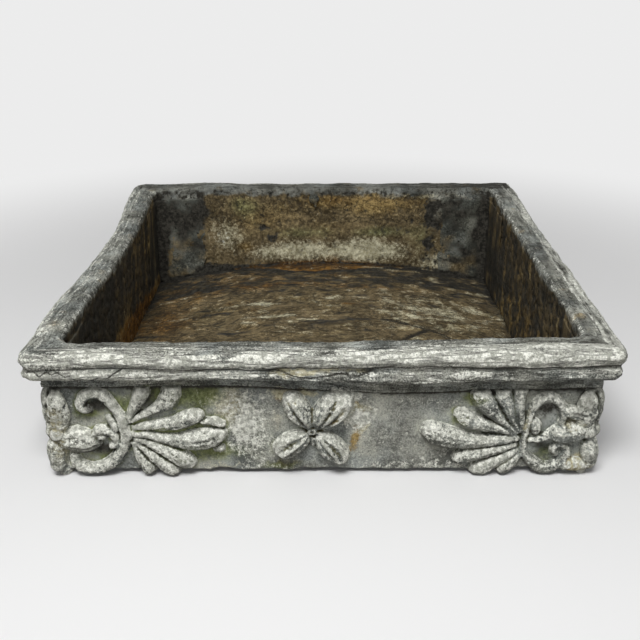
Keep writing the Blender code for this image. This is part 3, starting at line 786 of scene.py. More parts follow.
def arc(centre, radius, first, last, steps):
    """Points on an arc, by its angles in degrees."""
    points = []
    for step in range(steps + 1):
        angle = math.radians(first + (last - first) * step / steps)
        points.append((centre[0] + radius * math.cos(angle), centre[1] + radius * math.sin(angle)))
    return points


def body_section():
    """The body's section: distance out from the inner face, and height."""
    upper, lower, edge = UPPER_ROLL_RADIUS, LOWER_ROLL_RADIUS, TOP_EDGE_RADIUS
    upper_middle = (RIM_WIDTH - upper, RIM_TOP - upper)
    lower_middle = (RIM_WIDTH - LOWER_ROLL_INSET - lower, RIM_BASE + FILLET_HEIGHT + lower)
    face = FACE_HALF - INNER_HALF
    fillet = face + FILLET_PROUD
    return (
        [(0, wall_low.z)] + arc((edge, RIM_TOP - edge), edge, 180, 90, 5)
        + arc(upper_middle, upper, 90, -38, 8) + [(RIM_WIDTH - CREASE_INSET, CREASE_UP)]
        + arc(lower_middle, lower, 42, -90, 8)
        + [(fillet, RIM_BASE + FILLET_HEIGHT), (fillet, RIM_BASE), (face, RIM_BASE), (face, wall_low.z)]
    )


def body_ring():
    """The whole body as one ring."""
    shape = bmesh.new()
    points = [(-INNER_HALF - out, -INNER_HALF - out, up) for out, up in body_section()]
    line_through(shape, points, closed=True)
    spun(shape, 4)
    bmesh.ops.remove_doubles(shape, verts=shape.verts, dist=0.01)
    bmesh.ops.recalc_face_normals(shape, faces=shape.faces)
    return skinned("body_ring", shape, BODY_CELL)


def weather_body(mesh):
    """Folds along the rim with a wandering crease, dents, an inner crust and a ragged foot."""
    places = places_of(mesh)
    facings = facings_of(mesh)
    x, y, z = places.T
    square = square_reach(x, y)
    on_rim = ramp(z, RIM_BASE, RIM_BASE + 4)
    rolls = on_rim * ramp(square, INNER_HALF + 4, INNER_HALF + 14)
    inner = ramp(square, INNER_HALF + 4, INNER_HALF + 1)
    rise = crease_rise(x, y)
    moved = places.copy()
    moved[:, 2] += rise * bell(z, CREASE_UP, 6.5) * rolls
    ragged = mottle(places * (1, 1, 0), 17, 71, 3)
    moved[:, 2] += 1.8 * ragged * ramp(z, wall_low.z + 9, wall_low.z)
    flow = flow_of(places)
    folds = mottle(flow, 3.6, 43, 3)
    ledges = ramp(np.abs(mottle(flow, 9, 47, 2)), 0.10, 0.0)
    crust = mottle(places, 7, 67, 4)
    move = mottle(places, 48, 49, 2) + 0.5 * mottle(places, 15, 51, 2)
    move += rolls * (0.75 * folds - 0.55 * ledges * ramp(rise, -0.8, 0.5))
    move += inner * (0.8 * crust - 0.4 * ramp(crust, -0.2, -0.45))
    move += 0.16 * mottle(places, 3.2, 53, 3)
    put_places(mesh, moved + facings * move[:, None])


def shelter_at(places):
    """How closely the castings stand round each place of the outer faces."""
    across = np.arange(-SHELTER_HALF, SHELTER_HALF + 1)
    grid_across, grid_up = np.meshgrid(across, np.arange(SHELTER_TOP + 1), indexing="ij")
    cover = np.zeros(grid_across.shape)
    for bars in (LEFT_PALMETTE_BARS, RIGHT_PALMETTE_BARS, FLOWER_BARS):
        heights = casting_height(grid_across.ravel(), grid_up.ravel(), bars, (), ())
        cover = np.maximum(cover, (heights > 1).reshape(cover.shape))
    for _ in range(12):
        shifts = [np.roll(cover, step, axis) for step in (1, -1) for axis in (0, 1)]
        cover = (cover + sum(shifts)) / 5
    x, y, z = places.T
    column = np.round(np.clip(across_face(places), -SHELTER_HALF, SHELTER_HALF)).astype(int)
    row = np.round(np.clip(z, 0, SHELTER_TOP)).astype(int)
    outer = square_reach(x, y) > FACE_HALF - 4
    return cover[column + SHELTER_HALF, row] * outer * ramp(z, RIM_BASE, RIM_BASE - 2)


def cut_from(mesh, planes):
    """The part of a skin behind every plane, closed at its cuts, whose edges stay sharp."""
    shape = bmesh.new()
    shape.from_mesh(mesh)
    for place, facing in planes:
        cut = bmesh.ops.bisect_plane(
            shape, geom=shape.verts[:] + shape.edges[:] + shape.faces[:], dist=0.001,
            plane_co=place, plane_no=facing, clear_outer=True,
        )
        edges = [item for item in cut["geom_cut"] if isinstance(item, bmesh.types.BMEdge)]
        for edge in edges:
            edge.smooth = False
        bmesh.ops.triangle_fill(shape, use_beauty=True, edges=edges)
    return shape


def make_body(rim_finish, wall_finish):
    """The four rails of the rim and the four panels under them."""
    ring = body_ring()
    relaxed(ring.data, 2)
    weather_body(ring.data)
    # The shelter round the castings feeds algae, and dirt with painted shade on the panels.
    stained(ring.data, 0.10, shelter_at(places_of(ring.data)))
    middle = (0, 0, 0)
    seam = (0, 0, SEAM)
    for quarter, (face, _, _) in enumerate(FACES):
        turn = quarter_turn(quarter, 3)
        mitres = [(middle, turn @ Vector((side, 1, 0))) for side in (-1, 1)]
        quarter_mesh = mesh_from("quarter", cut_from(ring.data, mitres))
        for name, node, slot, facing, finish in (
            ("rail_", "rim_" + face, "chalky_lead", (0, 0, -1), rim_finish),
            ("panel_", face + "_wall", "weathered_lead", (0, 0, 1), wall_finish),
        ):
            mesh = mesh_from(name + face, cut_from(quarter_mesh, [(seam, facing)]))
            completed(linked(name + face, mesh), finish, slot, node)
    bpy.data.objects.remove(ring, do_unlink=True)


# Floor sheet and corner straps

FLOOR_CELLS = 200
FLOOR_THICKNESS = 3
FLOOR_SETTLED = 2
FLOOR_STREAKS = 0.7
FLOOR_LUMPS = 1.2
FLOOR_CRACK_DEPTH = 1.6


def floor_level(x):
    """Height of the floor's top surface, arched from side to side."""
    edge = floor_low.z + FLOOR_THICKNESS - FLOOR_SETTLED
    share = np.clip(np.abs(x) / INNER_HALF, 0, 1)
    return edge + (floor_high.z - edge) * (1 - share * share)


FLOOR_CRACKS = (
    ((62, 36), (86, 28), (107, 20), (126, 7)),
    ((76, -12), (92, 5), (107, 20)),
)


def gap_to_route(x, y, route):
    """The distance from each place to a line through a few places."""
    gap = np.full(len(x), np.inf)
    for start, end in zip(route, route[1:]):
        span = np.array(end) - start
        past_x = x - start[0]
        past_y = y - start[1]
        share = np.clip((past_x * span[0] + past_y * span[1]) / (span @ span), 0, 1)
        gap = np.minimum(gap, np.hypot(past_x - share * span[0], past_y - share * span[1]))
    return gap


def make_floor(finish):
    """The arched floor sheet, streaked from side to side and cracked right of the middle."""
    shape = bmesh.new()
    bmesh.ops.create_grid(
        shape, x_segments=FLOOR_CELLS, y_segments=FLOOR_CELLS, size=INNER_HALF + 0.5
    )
    sheet = linked("floor_lead", mesh_from("floor_lead", shape))
    places = places_of(sheet.data)
    x, y, _ = places.T
    streaks = mottle(wavy(places), (28, 9, 9), 73, 4)
    lumps = mottle(places, 26, 79, 4)
    cracks = np.zeros(len(x))
    shift = 1.6 * mottle(places, 9, 83)
    for route in FLOOR_CRACKS:
        cracks = np.maximum(cracks, bell(gap_to_route(x + shift, y + shift, route), 0, 1.5))
    places[:, 2] = floor_level(x) + FLOOR_STREAKS * streaks + FLOOR_LUMPS * lumps
    places[:, 2] -= FLOOR_CRACK_DEPTH * cracks
    put_places(sheet.data, places)
    thick = sheet.modifiers.new("thickness", "SOLIDIFY")
    thick.thickness = FLOOR_THICKNESS
    thick.offset = -1
    applied(sheet)
    stained(sheet.data, 0)
    completed(sheet, finish, "stained_lead", "floor_sheet")


STRAP_TOP = RIM_BASE + 24
STRAP_LEG = strap_high.x - strap_low.x
STRAP_THICKNESS = 0.9
STRAP_CELLS = 44
BACK_LEFT_LEG = 60
BACK_RIGHT_LEG = 70
STRAP_SIDE_RAGS = 3.5
STRAP_TOP_RAGS = 2.5
STRAP_WEAR = ((0.35, 16), (0.12, 3))


def make_straps(finish):
    """L-shaped sheets in the inner corners, with ragged edges."""
    corner = -INNER_HALF + STRAP_THICKNESS / 2
    low = floor_low.z + 1
    for quarter, name in enumerate(CORNERS):
        shape = bmesh.new()
        leg = {"back_right": BACK_RIGHT_LEG}.get(name, STRAP_LEG)
        end_leg = {"back_left": BACK_LEFT_LEG}.get(name, STRAP_LEG)
        bends = ((corner + end_leg, corner), (corner, corner), (corner, corner + leg))
        edges = line_through(shape, [(*bend, low) for bend in bends])
        raised = bmesh.ops.extrude_edge_only(shape, edges=edges)
        tops = [item for item in raised["geom"] if isinstance(item, bmesh.types.BMVert)]
        bmesh.ops.translate(shape, vec=(0, 0, STRAP_TOP - low), verts=tops)
        bmesh.ops.subdivide_edges(shape, edges=shape.edges, cuts=STRAP_CELLS, use_grid_fill=True)
        bmesh.ops.recalc_face_normals(shape, faces=shape.faces)
        bmesh.ops.rotate(shape, cent=(0, 0, 0), matrix=quarter_turn(quarter, 3), verts=shape.verts)
        strap = linked("strap_" + name, mesh_from("strap_" + name, shape))
        mesh = strap.data
        places = places_of(mesh)
        x, y, z = places.T
        from_corner = INNER_HALF - np.minimum(np.abs(x), np.abs(y))
        end = ramp(from_corner, 30, STRAP_LEG)
        ragged = STRAP_SIDE_RAGS * mottle(places, 12, 89 + quarter, 4) * end
        places[:, 0] += ragged * (np.abs(x) < np.abs(y))
        places[:, 1] += ragged * (np.abs(y) <= np.abs(x))
        near_top = ramp(z, RIM_BASE - 12, STRAP_TOP)
        places[:, 2] += STRAP_TOP_RAGS * mottle(places, 14, 97, 3) * near_top
        put_places(mesh, places)
        weathered(mesh, STRAP_WEAR, 101)
        thick = strap.modifiers.new("thickness", "SOLIDIFY")
        thick.thickness = STRAP_THICKNESS
        thick.offset = 0
        applied(strap)
        x, y, z = places_of(strap.data).T
        from_corner = INNER_HALF - np.minimum(np.abs(x), np.abs(y))
        on_back = y > np.abs(x)
        reach = np.where(on_back, np.where(x < 0, BACK_LEFT_LEG, BACK_RIGHT_LEG), STRAP_LEG)
        soil = 0.24 + 0.5 * ramp(reach - from_corner, 5, 1) + 0.2 * ramp(z, 44, 22)
        soil += 0.45 * (~on_back) + 0.5 * mottle(places_of(strap.data), 22, 107)
        stained(strap.data, 0, soil_level=soil)
        completed(strap, finish, "dark_lead", "corner_strap_" + name)


# Leafed stems over the corners. Each leaf or knot, in millimetres: in from the corner, up, half
# width, half height, and how far its middle stands out of the face

STEM_CELL = 0.75
STEM_MIDDLE = -FACE_HALF + 3.6
STEM_LEAVES = (
    (5.5, 57, 8.4, 18, 2.6),
    (5.2, 65, 7.6, 9, 3.0),
    (3.4, 39, 6.4, 6.2, 2.8),
    (-0.2, 21, 6.4, 13.5, 2.4),
    (-0.2, 12.5, 6.0, 8.0, 1.6),
)
STEM_LEAF_DEPTH = 5.6
STEM_CORE_RADIUS = 5.4
STEM_WEAR = ((1.0, 13), (0.35, 6), (0.3, 2.6))


def stem_shape():
    """The front left stem: a core with an upper leaf, a knot and a lower leaf on both faces."""
    shape = bmesh.new()
    for inward, up, half_width, half_height, out in STEM_LEAVES:
        along = -FACE_HALF + inward
        proud = -FACE_HALF - out
        for x, y, across, depth in (
            (along, proud, half_width, STEM_LEAF_DEPTH), (proud, along, STEM_LEAF_DEPTH, half_width)
        ):
            add_ball(shape, (x, y, up), (across, depth, half_height), 28, 18)
    top = stem_high.z - 2
    core = bmesh.ops.create_cone(
        shape, cap_ends=True, segments=24, radius1=STEM_CORE_RADIUS, radius2=STEM_CORE_RADIUS,
        depth=top,
    )["verts"]
    bmesh.ops.translate(shape, vec=(STEM_MIDDLE, STEM_MIDDLE, top / 2), verts=core)
    return shape


def make_stems(finish):
    """The four stems, each weathered in its own way."""
    model = skinned("stem_model", stem_shape(), STEM_CELL)
    relaxed(model.data, 3)
    for quarter, name in enumerate(CORNERS):
        mesh = model.data.copy()
        mesh.name = "stem_" + name
        mesh.transform(quarter_turn(quarter))
        weathered(mesh, STEM_WEAR, 103 + quarter)
        stained(mesh, 0.26, flow=places_of(mesh) * (1, 1, 0.35))
        completed(linked("stem_" + name, mesh), finish, "chalky_lead", "corner_stem_" + name)
    bpy.data.objects.remove(model, do_unlink=True)


# Applied castings on the front face, in millimetres. Bars are rounded strands: across from the
# middle, up from the ground, half width. Ribs and cuts add a fourth value, their height.

CASTING_CELL = 0.7
CASTING_GRID = 0.7
CASTING_SEAT = 1.2
CREST_START = 2.2
CREST_SHARE = 0.85
CREST_LIMIT = 9.6
RIB_SHARE = 1.45
CASTING_WEAR = ((0.5, 12), (0.36, 2.6))

LEFT_PALMETTE_BARS = (
    ((-147, 48, 2.0), (-143, 57, 3.2), (-138, 65, 5.2), (-134, 71, 6.2), (-133, 75, 5.7)),
    ((-144, 49, 1.9), (-134, 55, 2.8), (-124, 60, 4.0), (-116, 65, 6.6), (-112, 71, 7.2),
     (-111, 75, 6)),
    ((-142, 43.5, 2.3), (-129, 45.3, 4.0), (-119, 46.3, 5.0), (-110, 47.5, 6.2), (-103, 50.3, 6.8),
     (-96, 53, 6.4), (-93, 54, 4.6)),
    ((-142, 38.5, 3.2), (-134, 38, 3.5), (-121, 34.2, 4.4), (-109, 32, 6.4), (-99, 31.8, 8.4),
     (-88, 33.3, 9.2), (-80, 36.3, 7.2), (-76, 38.4, 4.2)),
    ((-90, 48.5, 2.2), (-83, 49, 3.6), (-75, 46, 2.8)),
    ((-81, 24, 2.4), (-77, 25, 3.2)),
    ((-142, 34, 2.1), (-132, 30, 3.6), (-122, 25, 5.6), (-112, 19, 7.2), (-106, 14.5, 7.2),
     (-102, 12, 5.6)),
    ((-142, 31, 1.9), (-136, 25, 3.4), (-128, 17, 5.2), (-120, 10, 6.4), (-115, 6.5, 6.2)),
    ((-144, 30, 1.9), (-141, 22, 3.2), (-138, 15, 5.2), (-134, 9, 6.2), (-134, 7, 5.6)),
    ((-148, 45, 3.6), (-147, 37, 4.4)),
    ((-143, 39, 3.2), (-139, 38, 3.0)),
    ((-175, 59, 3.2), (-179, 60.5, 4.2), (-180.5, 64.5, 4.2), (-177, 69, 4.0), (-170, 70.8, 3.9),
     (-162, 68.6, 3.9), (-156.5, 62.5, 4.0), (-152.5, 55.5, 4.2), (-150, 48, 4.5), (-149, 38, 4.7),
     (-151, 28, 5.0), (-156, 18.5, 5.2), (-164, 10.5, 5.2), (-173, 7, 5.2), (-182, 7.5, 5.1),
     (-188, 12, 4.9), (-190, 18.5, 4.2)),
    ((-171, 38.5, 3.4), (-167, 42, 4.2), (-160, 40, 4.2), (-156, 34, 3.8), (-156, 29.5, 3.4),
     (-160, 27.5, 3.0)),
    ((-168, 36, 3.6), (-166, 36, 3.6)),
    ((-161, 53, 2.4), (-158, 49, 3.8), (-156, 43, 3.0)),
    ((-200, 33, 2.5), (-194, 33.5, 7.5), (-188, 33, 11), (-182, 32, 11), (-176, 30.5, 7.5),
     (-171, 28.5, 2.5)),
    ((-188, 38, 6.0), (-185, 43.5, 1.8)),
)
LEFT_PALMETTE_RIBS = (
    ((-198, 33, 0.8, 0.6), (-188, 31.5, 1.1, 1.0), (-176, 30, 0.8, 0.6)),
    ((-120, 37, 1.0, 0.4), (-98, 36, 1.6, 0.7), (-80, 40, 1.6, 0.6)),
    ((-122, 48, 0.9, 0.4), (-106, 52, 1.2, 0.6), (-96, 56, 1.0, 0.4)),
)
LEFT_PALMETTE_CUTS = (
    ((-91, 43.5, 0.8, 3.0), (-84, 44.5, 0.9, 4.5), (-74, 42.5, 0.8, 3.0)),
    ((-196, 30, 0.7, 0.6), (-189, 25, 0.9, 0.9), (-182, 25, 0.8, 0.6)),
    ((-194, 37, 0.7, 0.5), (-187, 38, 0.9, 0.8), (-180, 36, 0.8, 0.5)),
)
RIGHT_PALMETTE_BARS = (
    ((151, 40, 1.8), (149, 49, 3.2), (147, 60, 5.0), (147, 71, 5.6), (148, 75, 5.1)),
    ((149, 39, 1.8), (144, 48, 3.2), (139, 60, 5.4), (135, 70, 6.5), (134, 75, 6.0)),
    ((147, 38, 1.8), (137, 46.5, 3.2), (128, 56, 6.0), (121, 65.5, 8.4), (118, 70.5, 7.8)),
    ((145, 36.5, 2.1), (134, 41, 3.6), (122, 44.4, 5.4), (112, 48.3, 6.8), (107, 51.6, 7.0),
     (104, 54, 5.6)),
    ((147, 33, 3.0), (137, 31.8, 4.3), (123, 31, 5.7), (109, 31.2, 7.2), (97, 33.5, 9.2),
     (88, 36, 10.2), (81, 40.5, 7.6)),
    ((146, 27, 2.6), (133, 23, 4.3), (122, 20.5, 5.7), (110, 18, 6.8), (104.5, 16, 6.2)),
    ((148, 22, 2.3), (140, 17, 4.1), (130, 11, 5.7), (122, 6.5, 6.4), (118, 5.5, 5.6)),
    ((151, 19, 2.6), (146, 12.5, 4.6), (141, 8, 5.6), (138.5, 6.5, 5.6)),
    ((180, 46, 2.6), (181, 53, 3.2), (179, 60, 3.6), (174, 66, 4.0), (168, 68.5, 4.2),
     (161.5, 65.5, 3.8), (157.5, 57, 3.2), (155, 47, 2.8), (153.5, 38, 2.8), (152.5, 29, 3.2),
     (154, 21, 4.0), (159, 13, 4.6), (166, 7, 5.2), (173, 6, 5.2), (181, 10, 4.4), (185.5, 15, 3.8),
     (186, 21.5, 3.4), (183, 27, 3.2), (178.5, 27, 3.0), (176, 22.5, 2.8), (177.5, 18.5, 2.4)),
    ((159.5, 47, 3.4), (161, 43, 4.6), (161, 39, 3.6)),
    ((158, 31, 3.0), (165, 33, 4.3), (172, 35, 4.2)),
    ((172, 36, 4.0), (179, 37, 8.0), (187, 37.5, 9.4), (194, 41, 8.4), (200, 44, 5.4)),
    ((182, 57, 4.4), (190, 54, 5.8), (197, 49, 5.0)),
    ((184, 9, 5.5), (192, 9, 6.0), (199, 9, 5.5)),
)
RIGHT_PALMETTE_RIBS = (
    ((140, 39.5, 0.7, 0.4), (126, 48, 0.9, 1.0), (112, 55, 0.9, 0.9), (104, 58, 0.8, 0.5)),
    ((142, 46, 0.7, 0.4), (131, 60, 0.9, 0.8), (128, 71, 0.9, 0.6)),
    ((174, 38, 0.8, 0.5), (186, 40, 1.2, 0.9), (198, 44, 0.8, 0.5)),
)
RIGHT_PALMETTE_CUTS = (
    ((184, 48.5, 0.8, 4.0), (190, 48, 0.9, 5.0), (197, 45.5, 0.8, 4.0)),
    ((190.5, 31, 0.7, 2.5), (190.5, 20, 0.7, 3.0), (190.5, 10, 0.7, 1.5)),
)
FLOWER_BARS = (
    ((-9, 42, 2.4), (-13, 50, 6.8), (-17.5, 57.5, 9.4), (-20.5, 63.5, 9.2), (-21.5, 66, 7.8)),
    ((-5, 43, 2.4), (-2, 51, 7.0), (3, 58.5, 9.0), (7, 67, 7.6)),
    ((-4, 43, 2.4), (3, 50, 7.2), (10, 57, 9.6), (15, 64.5, 9.0), (18, 69.5, 6.4)),
    ((-11, 38, 2.4), (-17, 33, 8.4), (-24, 27.5, 11.0), (-28, 24.5, 10.0)),
    ((-3, 37, 2.4), (2, 31, 8.0), (7.5, 23.5, 10.4), (12, 18.5, 9.4)),
    ((-8, 33, 2.2), (-7, 27, 1.4)),
    ((-8.5, 40, 3.8), (-7, 40, 3.8)),
)
FLOWER_RIBS = (
    ((-10, 45, 0.9, 0.8), (-15, 56, 1.5, 1.7), (-21.5, 66, 1.2, 1.0)),
    ((-13, 44, 0.9, 0.6), (-23, 54, 1.3, 1.2), (-28, 63, 1.1, 0.7)),
    ((-3, 45, 0.8, 0.7), (1, 58, 1.3, 1.5), (6, 70, 1.2, 1.0)),
    ((-1, 44, 0.8, 0.7), (8, 57, 1.4, 1.5), (17, 70, 1.4, 1.2)),
    ((1, 43, 0.8, 0.6), (13, 51, 1.3, 1.4), (20, 59, 1.1, 0.9)),
    ((-12, 36, 0.9, 0.8), (-22, 27.5, 1.5, 1.7), (-30, 20.5, 1.2, 1.0)),
    ((-13, 39, 0.9, 0.6), (-25, 35, 1.3, 1.2), (-34, 29, 1.1, 0.8)),
    ((-2, 36, 0.9, 0.8), (5, 27.5, 1.5, 1.7), (12, 15.5, 1.2, 1.0)),
    ((1, 37, 0.9, 0.6), (12, 29.5, 1.3, 1.2), (17, 20.5, 1.1, 0.8)),
    ((-6, 34, 0.8, 0.5), (-3, 24, 1.1, 0.9), (2, 16, 1.0, 0.6)),
)
FLOWER_CUTS = (
    ((-12, 47, 0.8, 0.4), (-19, 57, 1.3, 0.5), (-26, 66, 1.1, 0.4)),
    ((1, 47, 0.8, 0.4), (5, 58, 1.2, 0.5), (11, 70, 1.0, 0.4)),
    ((3, 45, 0.8, 0.4), (11, 55, 1.2, 0.5), (20, 64, 1.0, 0.4)),
    ((-14, 37, 0.8, 0.4), (-24, 30.5, 1.3, 0.5), (-33, 24.5, 1.1, 0.4)),
    ((0, 36, 0.8, 0.4), (9, 26.5, 1.3, 0.5), (15, 17.5, 1.1, 0.4)),
    ((-8, 40, 1.1, 1.6), (-7.6, 40, 1.1, 1.6)),
)
BEND_STEPS = 5


def bent(places):
    """A strand's places, with its bends rounded by a curve through them all."""
    places = np.array(places, float)
    ends = np.vstack((2 * places[0] - places[1], places, 2 * places[-1] - places[-2]))
    route = []
    for before, start, end, after in zip(ends, ends[1:], ends[2:], ends[3:]):
        for share in np.arange(BEND_STEPS) / BEND_STEPS:
            bend = 2 * before - 5 * start + 4 * end - after
            swing = 3 * start - before - 3 * end + after
            turn = (end - before) * share + bend * share ** 2 + swing * share ** 3
            route.append(start + turn / 2)
    return np.vstack((route, places[-1]))


def beside_strand(x, z, route):
    """Each place's distance from a strand in half widths, with the values of the nearest part."""
    nearest = np.full(x.shape, 1e3)
    values = np.zeros((*x.shape, route.shape[1] - 2))
    for start, end in zip(route, route[1:]):
        span = end - start
        length = span[0] ** 2 + span[1] ** 2
        share = np.clip(((x - start[0]) * span[0] + (z - start[1]) * span[1]) / length, 0, 1)
        gap = np.hypot(x - start[0] - share * span[0], z - start[1] - share * span[1])
        here = start[2:] + share[..., None] * span[2:]
        gap = gap / here[..., 0]
        closer = gap < nearest
        nearest = np.where(closer, gap, nearest)
        values[closer] = here[closer]
    return nearest, values


def streaks_round(places, heart, curl):
    """Each place of a front casting, drawn short along its leaves, and round its scroll."""
    x, y, z = places.T
    past_x = x - heart[0]
    past_z = z - heart[1]
    flow_x = np.hypot(past_x, past_z) / 5
    flow_z = 34 * np.arctan2(past_z, np.abs(past_x)) + 60 * np.sign(past_x)
    if curl:
        side = math.copysign(1, curl[0] - heart[0])
        round_x = (x - curl[0]) * -side
        round_z = z - curl[1]
        in_scroll = past_x * side > 2
        flow_x = np.where(in_scroll, np.hypot(round_x, round_z), flow_x)
        flow_z = np.where(in_scroll, 5 * np.arctan2(round_z, round_x), flow_z)
    return np.stack((flow_x, y, flow_z), axis=1)


def casting_height(x, z, bars, ribs, cuts):
    """How high a casting stands over the panel at each place."""
    height = np.zeros(x.shape)
    for bar in bars:
        gap, values = beside_strand(x, z, bent(bar))
        crest = np.minimum(CREST_START + CREST_SHARE * values[..., 0], CREST_LIMIT)
        veins = 1 + 0.045 * np.cos(8 * gap + 1.2)
        height = np.maximum(height, crest * veins * np.clip(1 - gap * gap, 0, 1) ** 0.58)
    solid = ramp(height, 0, 1.5)
    for sign, strands in ((1, ribs), (-1, cuts)):
        for strand in strands:
            gap, values = beside_strand(x, z, bent(strand))
            height += sign * RIB_SHARE * solid * values[..., 1] * np.exp(-gap * gap)
    return np.maximum(height, 0)


def casting_model(bars, ribs, cuts):
    """A casting on the front face: its footprint raised to its height, closed behind."""
    reach = np.vstack([np.array(bar, float) for bar in bars])
    low = (reach[:, :2] - reach[:, 2:]).min(axis=0) - 1
    high = (reach[:, :2] + reach[:, 2:]).max(axis=0) + 1
    low[1] = 0.3
    high[1] = RIM_BASE - 0.5
    across, up = np.ceil((high - low) / CASTING_GRID).astype(int)
    shape = bmesh.new()
    bmesh.ops.create_grid(shape, x_segments=int(across), y_segments=int(up), size=0.5)
    bmesh.ops.scale(shape, vec=(*(high - low), 1), verts=shape.verts)
    upright = Matrix.Rotation(math.pi / 2, 3, "X")
    bmesh.ops.rotate(shape, cent=(0, 0, 0), matrix=upright, verts=shape.verts)
    middle = (high + low) / 2
    seat = (middle[0], -FACE_HALF + CASTING_SEAT, middle[1])
    bmesh.ops.translate(shape, vec=seat, verts=shape.verts)
    places = np.array([vert.co[:] for vert in shape.verts])
    heights = casting_height(places[:, 0], places[:, 2], bars, ribs, cuts)
    raise_by = shape.verts.layers.float.new("raise_by")
    for vert, height in zip(shape.verts, heights):
        vert[raise_by] = height
    bare = [face for face in shape.faces if all(vert[raise_by] <= 0 for vert in face.verts)]
    bmesh.ops.delete(shape, geom=bare, context="FACES")
    raised = bmesh.ops.extrude_face_region(shape, geom=shape.faces[:], use_keep_orig=True)
    for vert in raised["geom"]:
        if isinstance(vert, bmesh.types.BMVert):
            vert.co.y -= vert[raise_by] + CASTING_SEAT
    bmesh.ops.recalc_face_normals(shape, faces=shape.faces)
    return skinned("casting_model", shape, CASTING_CELL)


def make_castings(finish):
    """Two palmettes and a flower on every face, each worn in its own way."""
    for forms, node, chalk_and_highlight, heart, curl in (
        ((LEFT_PALMETTE_BARS, LEFT_PALMETTE_RIBS, LEFT_PALMETTE_CUTS), "palmette_{0}_{1}", 0.38,
         (-147, 38), (-170, 38)),
        ((RIGHT_PALMETTE_BARS, RIGHT_PALMETTE_RIBS, RIGHT_PALMETTE_CUTS), "palmette_{0}_{2}", 0.16,
         (150, 34), (170, 36)),
        ((FLOWER_BARS, FLOWER_RIBS, FLOWER_CUTS), "flower_{0}", 0.40, (-8, 40), None),
    ):
        model = casting_model(*forms)
        relaxed(model.data, 2)
        streaks = streaks_round(places_of(model.data), heart, curl)
        for quarter, ends in enumerate(FACES):
            name = node.format(*ends)
            mesh = model.data.copy()
            mesh.transform(quarter_turn(quarter))
            weathered(mesh, CASTING_WEAR, 113 + quarter)
            stained(mesh, chalk_and_highlight, flow=streaks + quarter * 90)
            completed(linked("cast_" + name, mesh), finish, "chalky_lead", name)
        bpy.data.objects.remove(model, do_unlink=True)


# Dark plug in the back rim, with a run below it

PLUG_CELL = 0.4
PLUG_SHIFT = (3, 0, 4)
PLUG_PROUD = 3.6
PLUG_WEAR = ((0.5, 4), (0.15, 1.5))
PLUG_FORMS = (
    (0, 0, 5.8, 3.0),
    (1.5, -4.5, 2.4, 1.9),
    (1.8, -8.0, 1.5, 1.4),
)


def make_plug(finish):
    """A worn round head, as rounded forms: across, up, half width, half depth."""
    shape = bmesh.new()
    low, high = box_of("rim_plug")
    middle = (low + high) / 2 - Vector(PLUG_SHIFT)
    middle.y = INNER_HALF - PLUG_PROUD
    for across, up, half_width, half_depth in PLUG_FORMS:
        size = (half_width, half_depth, half_width)
        add_ball(shape, middle + Vector((across, 0, up)), size, 32, 20)
    plug = skinned("plug_head", shape, PLUG_CELL)
    relaxed(plug.data, 2)
    weathered(plug.data, PLUG_WEAR, 131)
    stained(plug.data, 0, soil_level=0.0, soot_level=0.05)
    completed(plug, finish, "dark_lead", "rim_plug")


# Camera, studio and lamps

CAMERA_LENS = 48.4
CAMERA_PLACE = (0.0013, -0.7656, 0.3787)
CAMERA_DIP = 23.85
CAMERA_TURN = 0.25
CAMERA_ROLL = -0.38
STUDIO_SEEN = (0.84, 0.84, 0.84)
STUDIO_CAST = (0.26, 0.25, 0.24)
STUDIO_SECTION = ((3, 0, 0), (3.6, 0, 0.2), (3.8, 0, 0.8), (3.8, 0, 3.4))
PLANTER_MIDDLE = (0, 0, 0.05)
SKY_STRENGTH = 0.34


def set_camera():
    """The photograph's view: near, a little above the rim, looking down on it."""
    camera = bpy.data.cameras.new("camera")
    camera.sensor_width = 36
    camera.lens = CAMERA_LENS
    holder = linked("camera", camera)
    tilt = Matrix.Rotation(math.radians(90 - CAMERA_DIP), 4, "X")
    turn = Matrix.Rotation(math.radians(CAMERA_TURN), 4, "Z") @ tilt
    holder.rotation_euler = (turn @ Matrix.Rotation(math.radians(CAMERA_ROLL), 4, "Z")).to_euler()
    holder.location = CAMERA_PLACE
    bpy.context.scene.camera = holder


def studio_paint(name, seen, cast):
    """Plain matt paint, pale where the camera sees it, even far off, darker for what it casts."""
    paint = Paint(name)
    direct = paint.add("ShaderNodeLightPath", {}, "Is Camera Ray")
    for kind in ("Is Glossy Ray", "Is Transmission Ray"):
        direct = paint.math("MAXIMUM", direct, paint.add("ShaderNodeLightPath", {}, kind))
    paint.connect(paint.mix(direct, cast, seen), "Base Color")
    paint.shader.inputs["Roughness"].default_value = 0.9
    paint.shader.inputs["Specular IOR Level"].default_value = 0.1
    away = paint.add("ShaderNodeVectorMath", {0: paint.place}, "Value", operation="LENGTH")
    share = paint.math("MULTIPLY", paint.span(away, 0.34, 0.9), direct)
    glow = paint.add("ShaderNodeEmission", {"Color": (*seen, 1), "Strength": 1.0})
    mixed = paint.add("ShaderNodeMixShader", {0: share, 1: paint.shader.outputs[0], 2: glow})
    paint.links.new(mixed, paint.nodes["Material Output"].inputs["Surface"])
    return paint.material


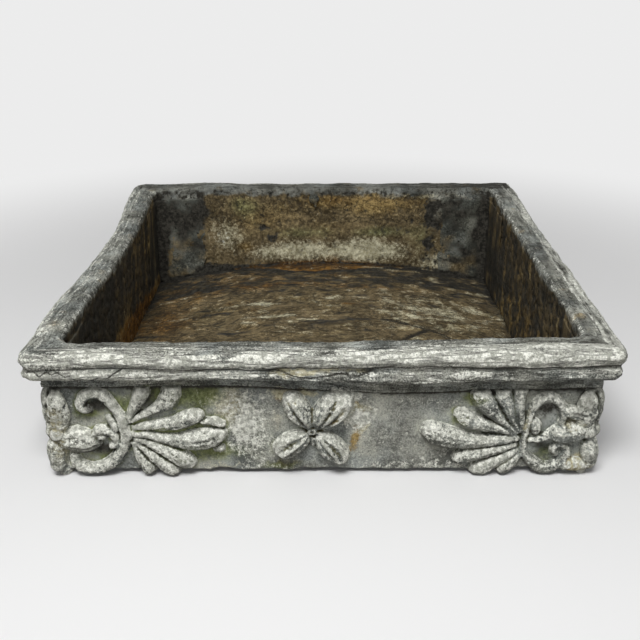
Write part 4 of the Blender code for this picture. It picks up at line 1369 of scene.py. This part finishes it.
def make_studio():
    """A pale floor that turns up into a backdrop on every side."""
    shape = bmesh.new()
    line_through(shape, STUDIO_SECTION)
    spun(shape, 64)
    ring = [item for item in shape.edges if item.is_boundary and item.verts[0].co.z < 0.1]
    bmesh.ops.edgeloop_fill(shape, edges=ring)
    bmesh.ops.recalc_face_normals(shape, faces=shape.faces)
    bmesh.ops.reverse_faces(shape, faces=shape.faces)
    backdrop = linked("studio", mesh_from("studio", shape))
    backdrop.data.materials.append(studio_paint("studio_paint", STUDIO_SEEN, STUDIO_CAST))


def add_lamp(name, place, aim, size, power):
    """A soft lamp turned to a place."""
    lamp = bpy.data.lights.new(name, "AREA")
    lamp.shape = "RECTANGLE"
    lamp.size, lamp.size_y = size
    lamp.energy = power
    holder = linked(name, lamp)
    holder.location = place
    holder.rotation_euler = (Vector(aim) - Vector(place)).to_track_quat("-Z", "Y").to_euler()


def light_scene():
    """One broad lamp above and in front, a weak one low in front, and a pale sky."""
    add_lamp("overhead", (-0.2, -1.05, 1.6), PLANTER_MIDDLE, size=(0.9, 0.6), power=28)
    add_lamp("front_fill", (0.3, -2.2, 0.7), PLANTER_MIDDLE, size=(1.6, 0.9), power=7)
    world = bpy.data.worlds.new("sky")
    world.use_nodes = True
    world.node_tree.nodes["Background"].inputs["Color"].default_value = (1, 1, 1, 1)
    world.node_tree.nodes["Background"].inputs["Strength"].default_value = SKY_STRENGTH
    bpy.context.scene.world = world
    bpy.context.scene.view_settings.view_transform = "Standard"


rail_lead = lead_finish("rail_lead", RAIL_LEAD, grit=0.28, seams=0.72)
panel_lead = lead_finish("panel_lead", PANEL_LEAD, grit=0.14, seams=0.12)
casting_lead = lead_finish("casting_lead", CASTING_LEAD, grit=0.26, seams=0.18, broken=0.85)
floor_lead = lead_finish("floor_lead", FLOOR_LEAD, grit=0.24, seams=0.80)
strap_lead = lead_finish("strap_lead", STRAP_LEAD, grit=0.24, seams=0.20)

make_body(rail_lead, panel_lead)
make_floor(floor_lead)
make_straps(strap_lead)
make_stems(casting_lead)
make_castings(casting_lead)
make_plug(strap_lead)
make_studio()
set_camera()
light_scene()
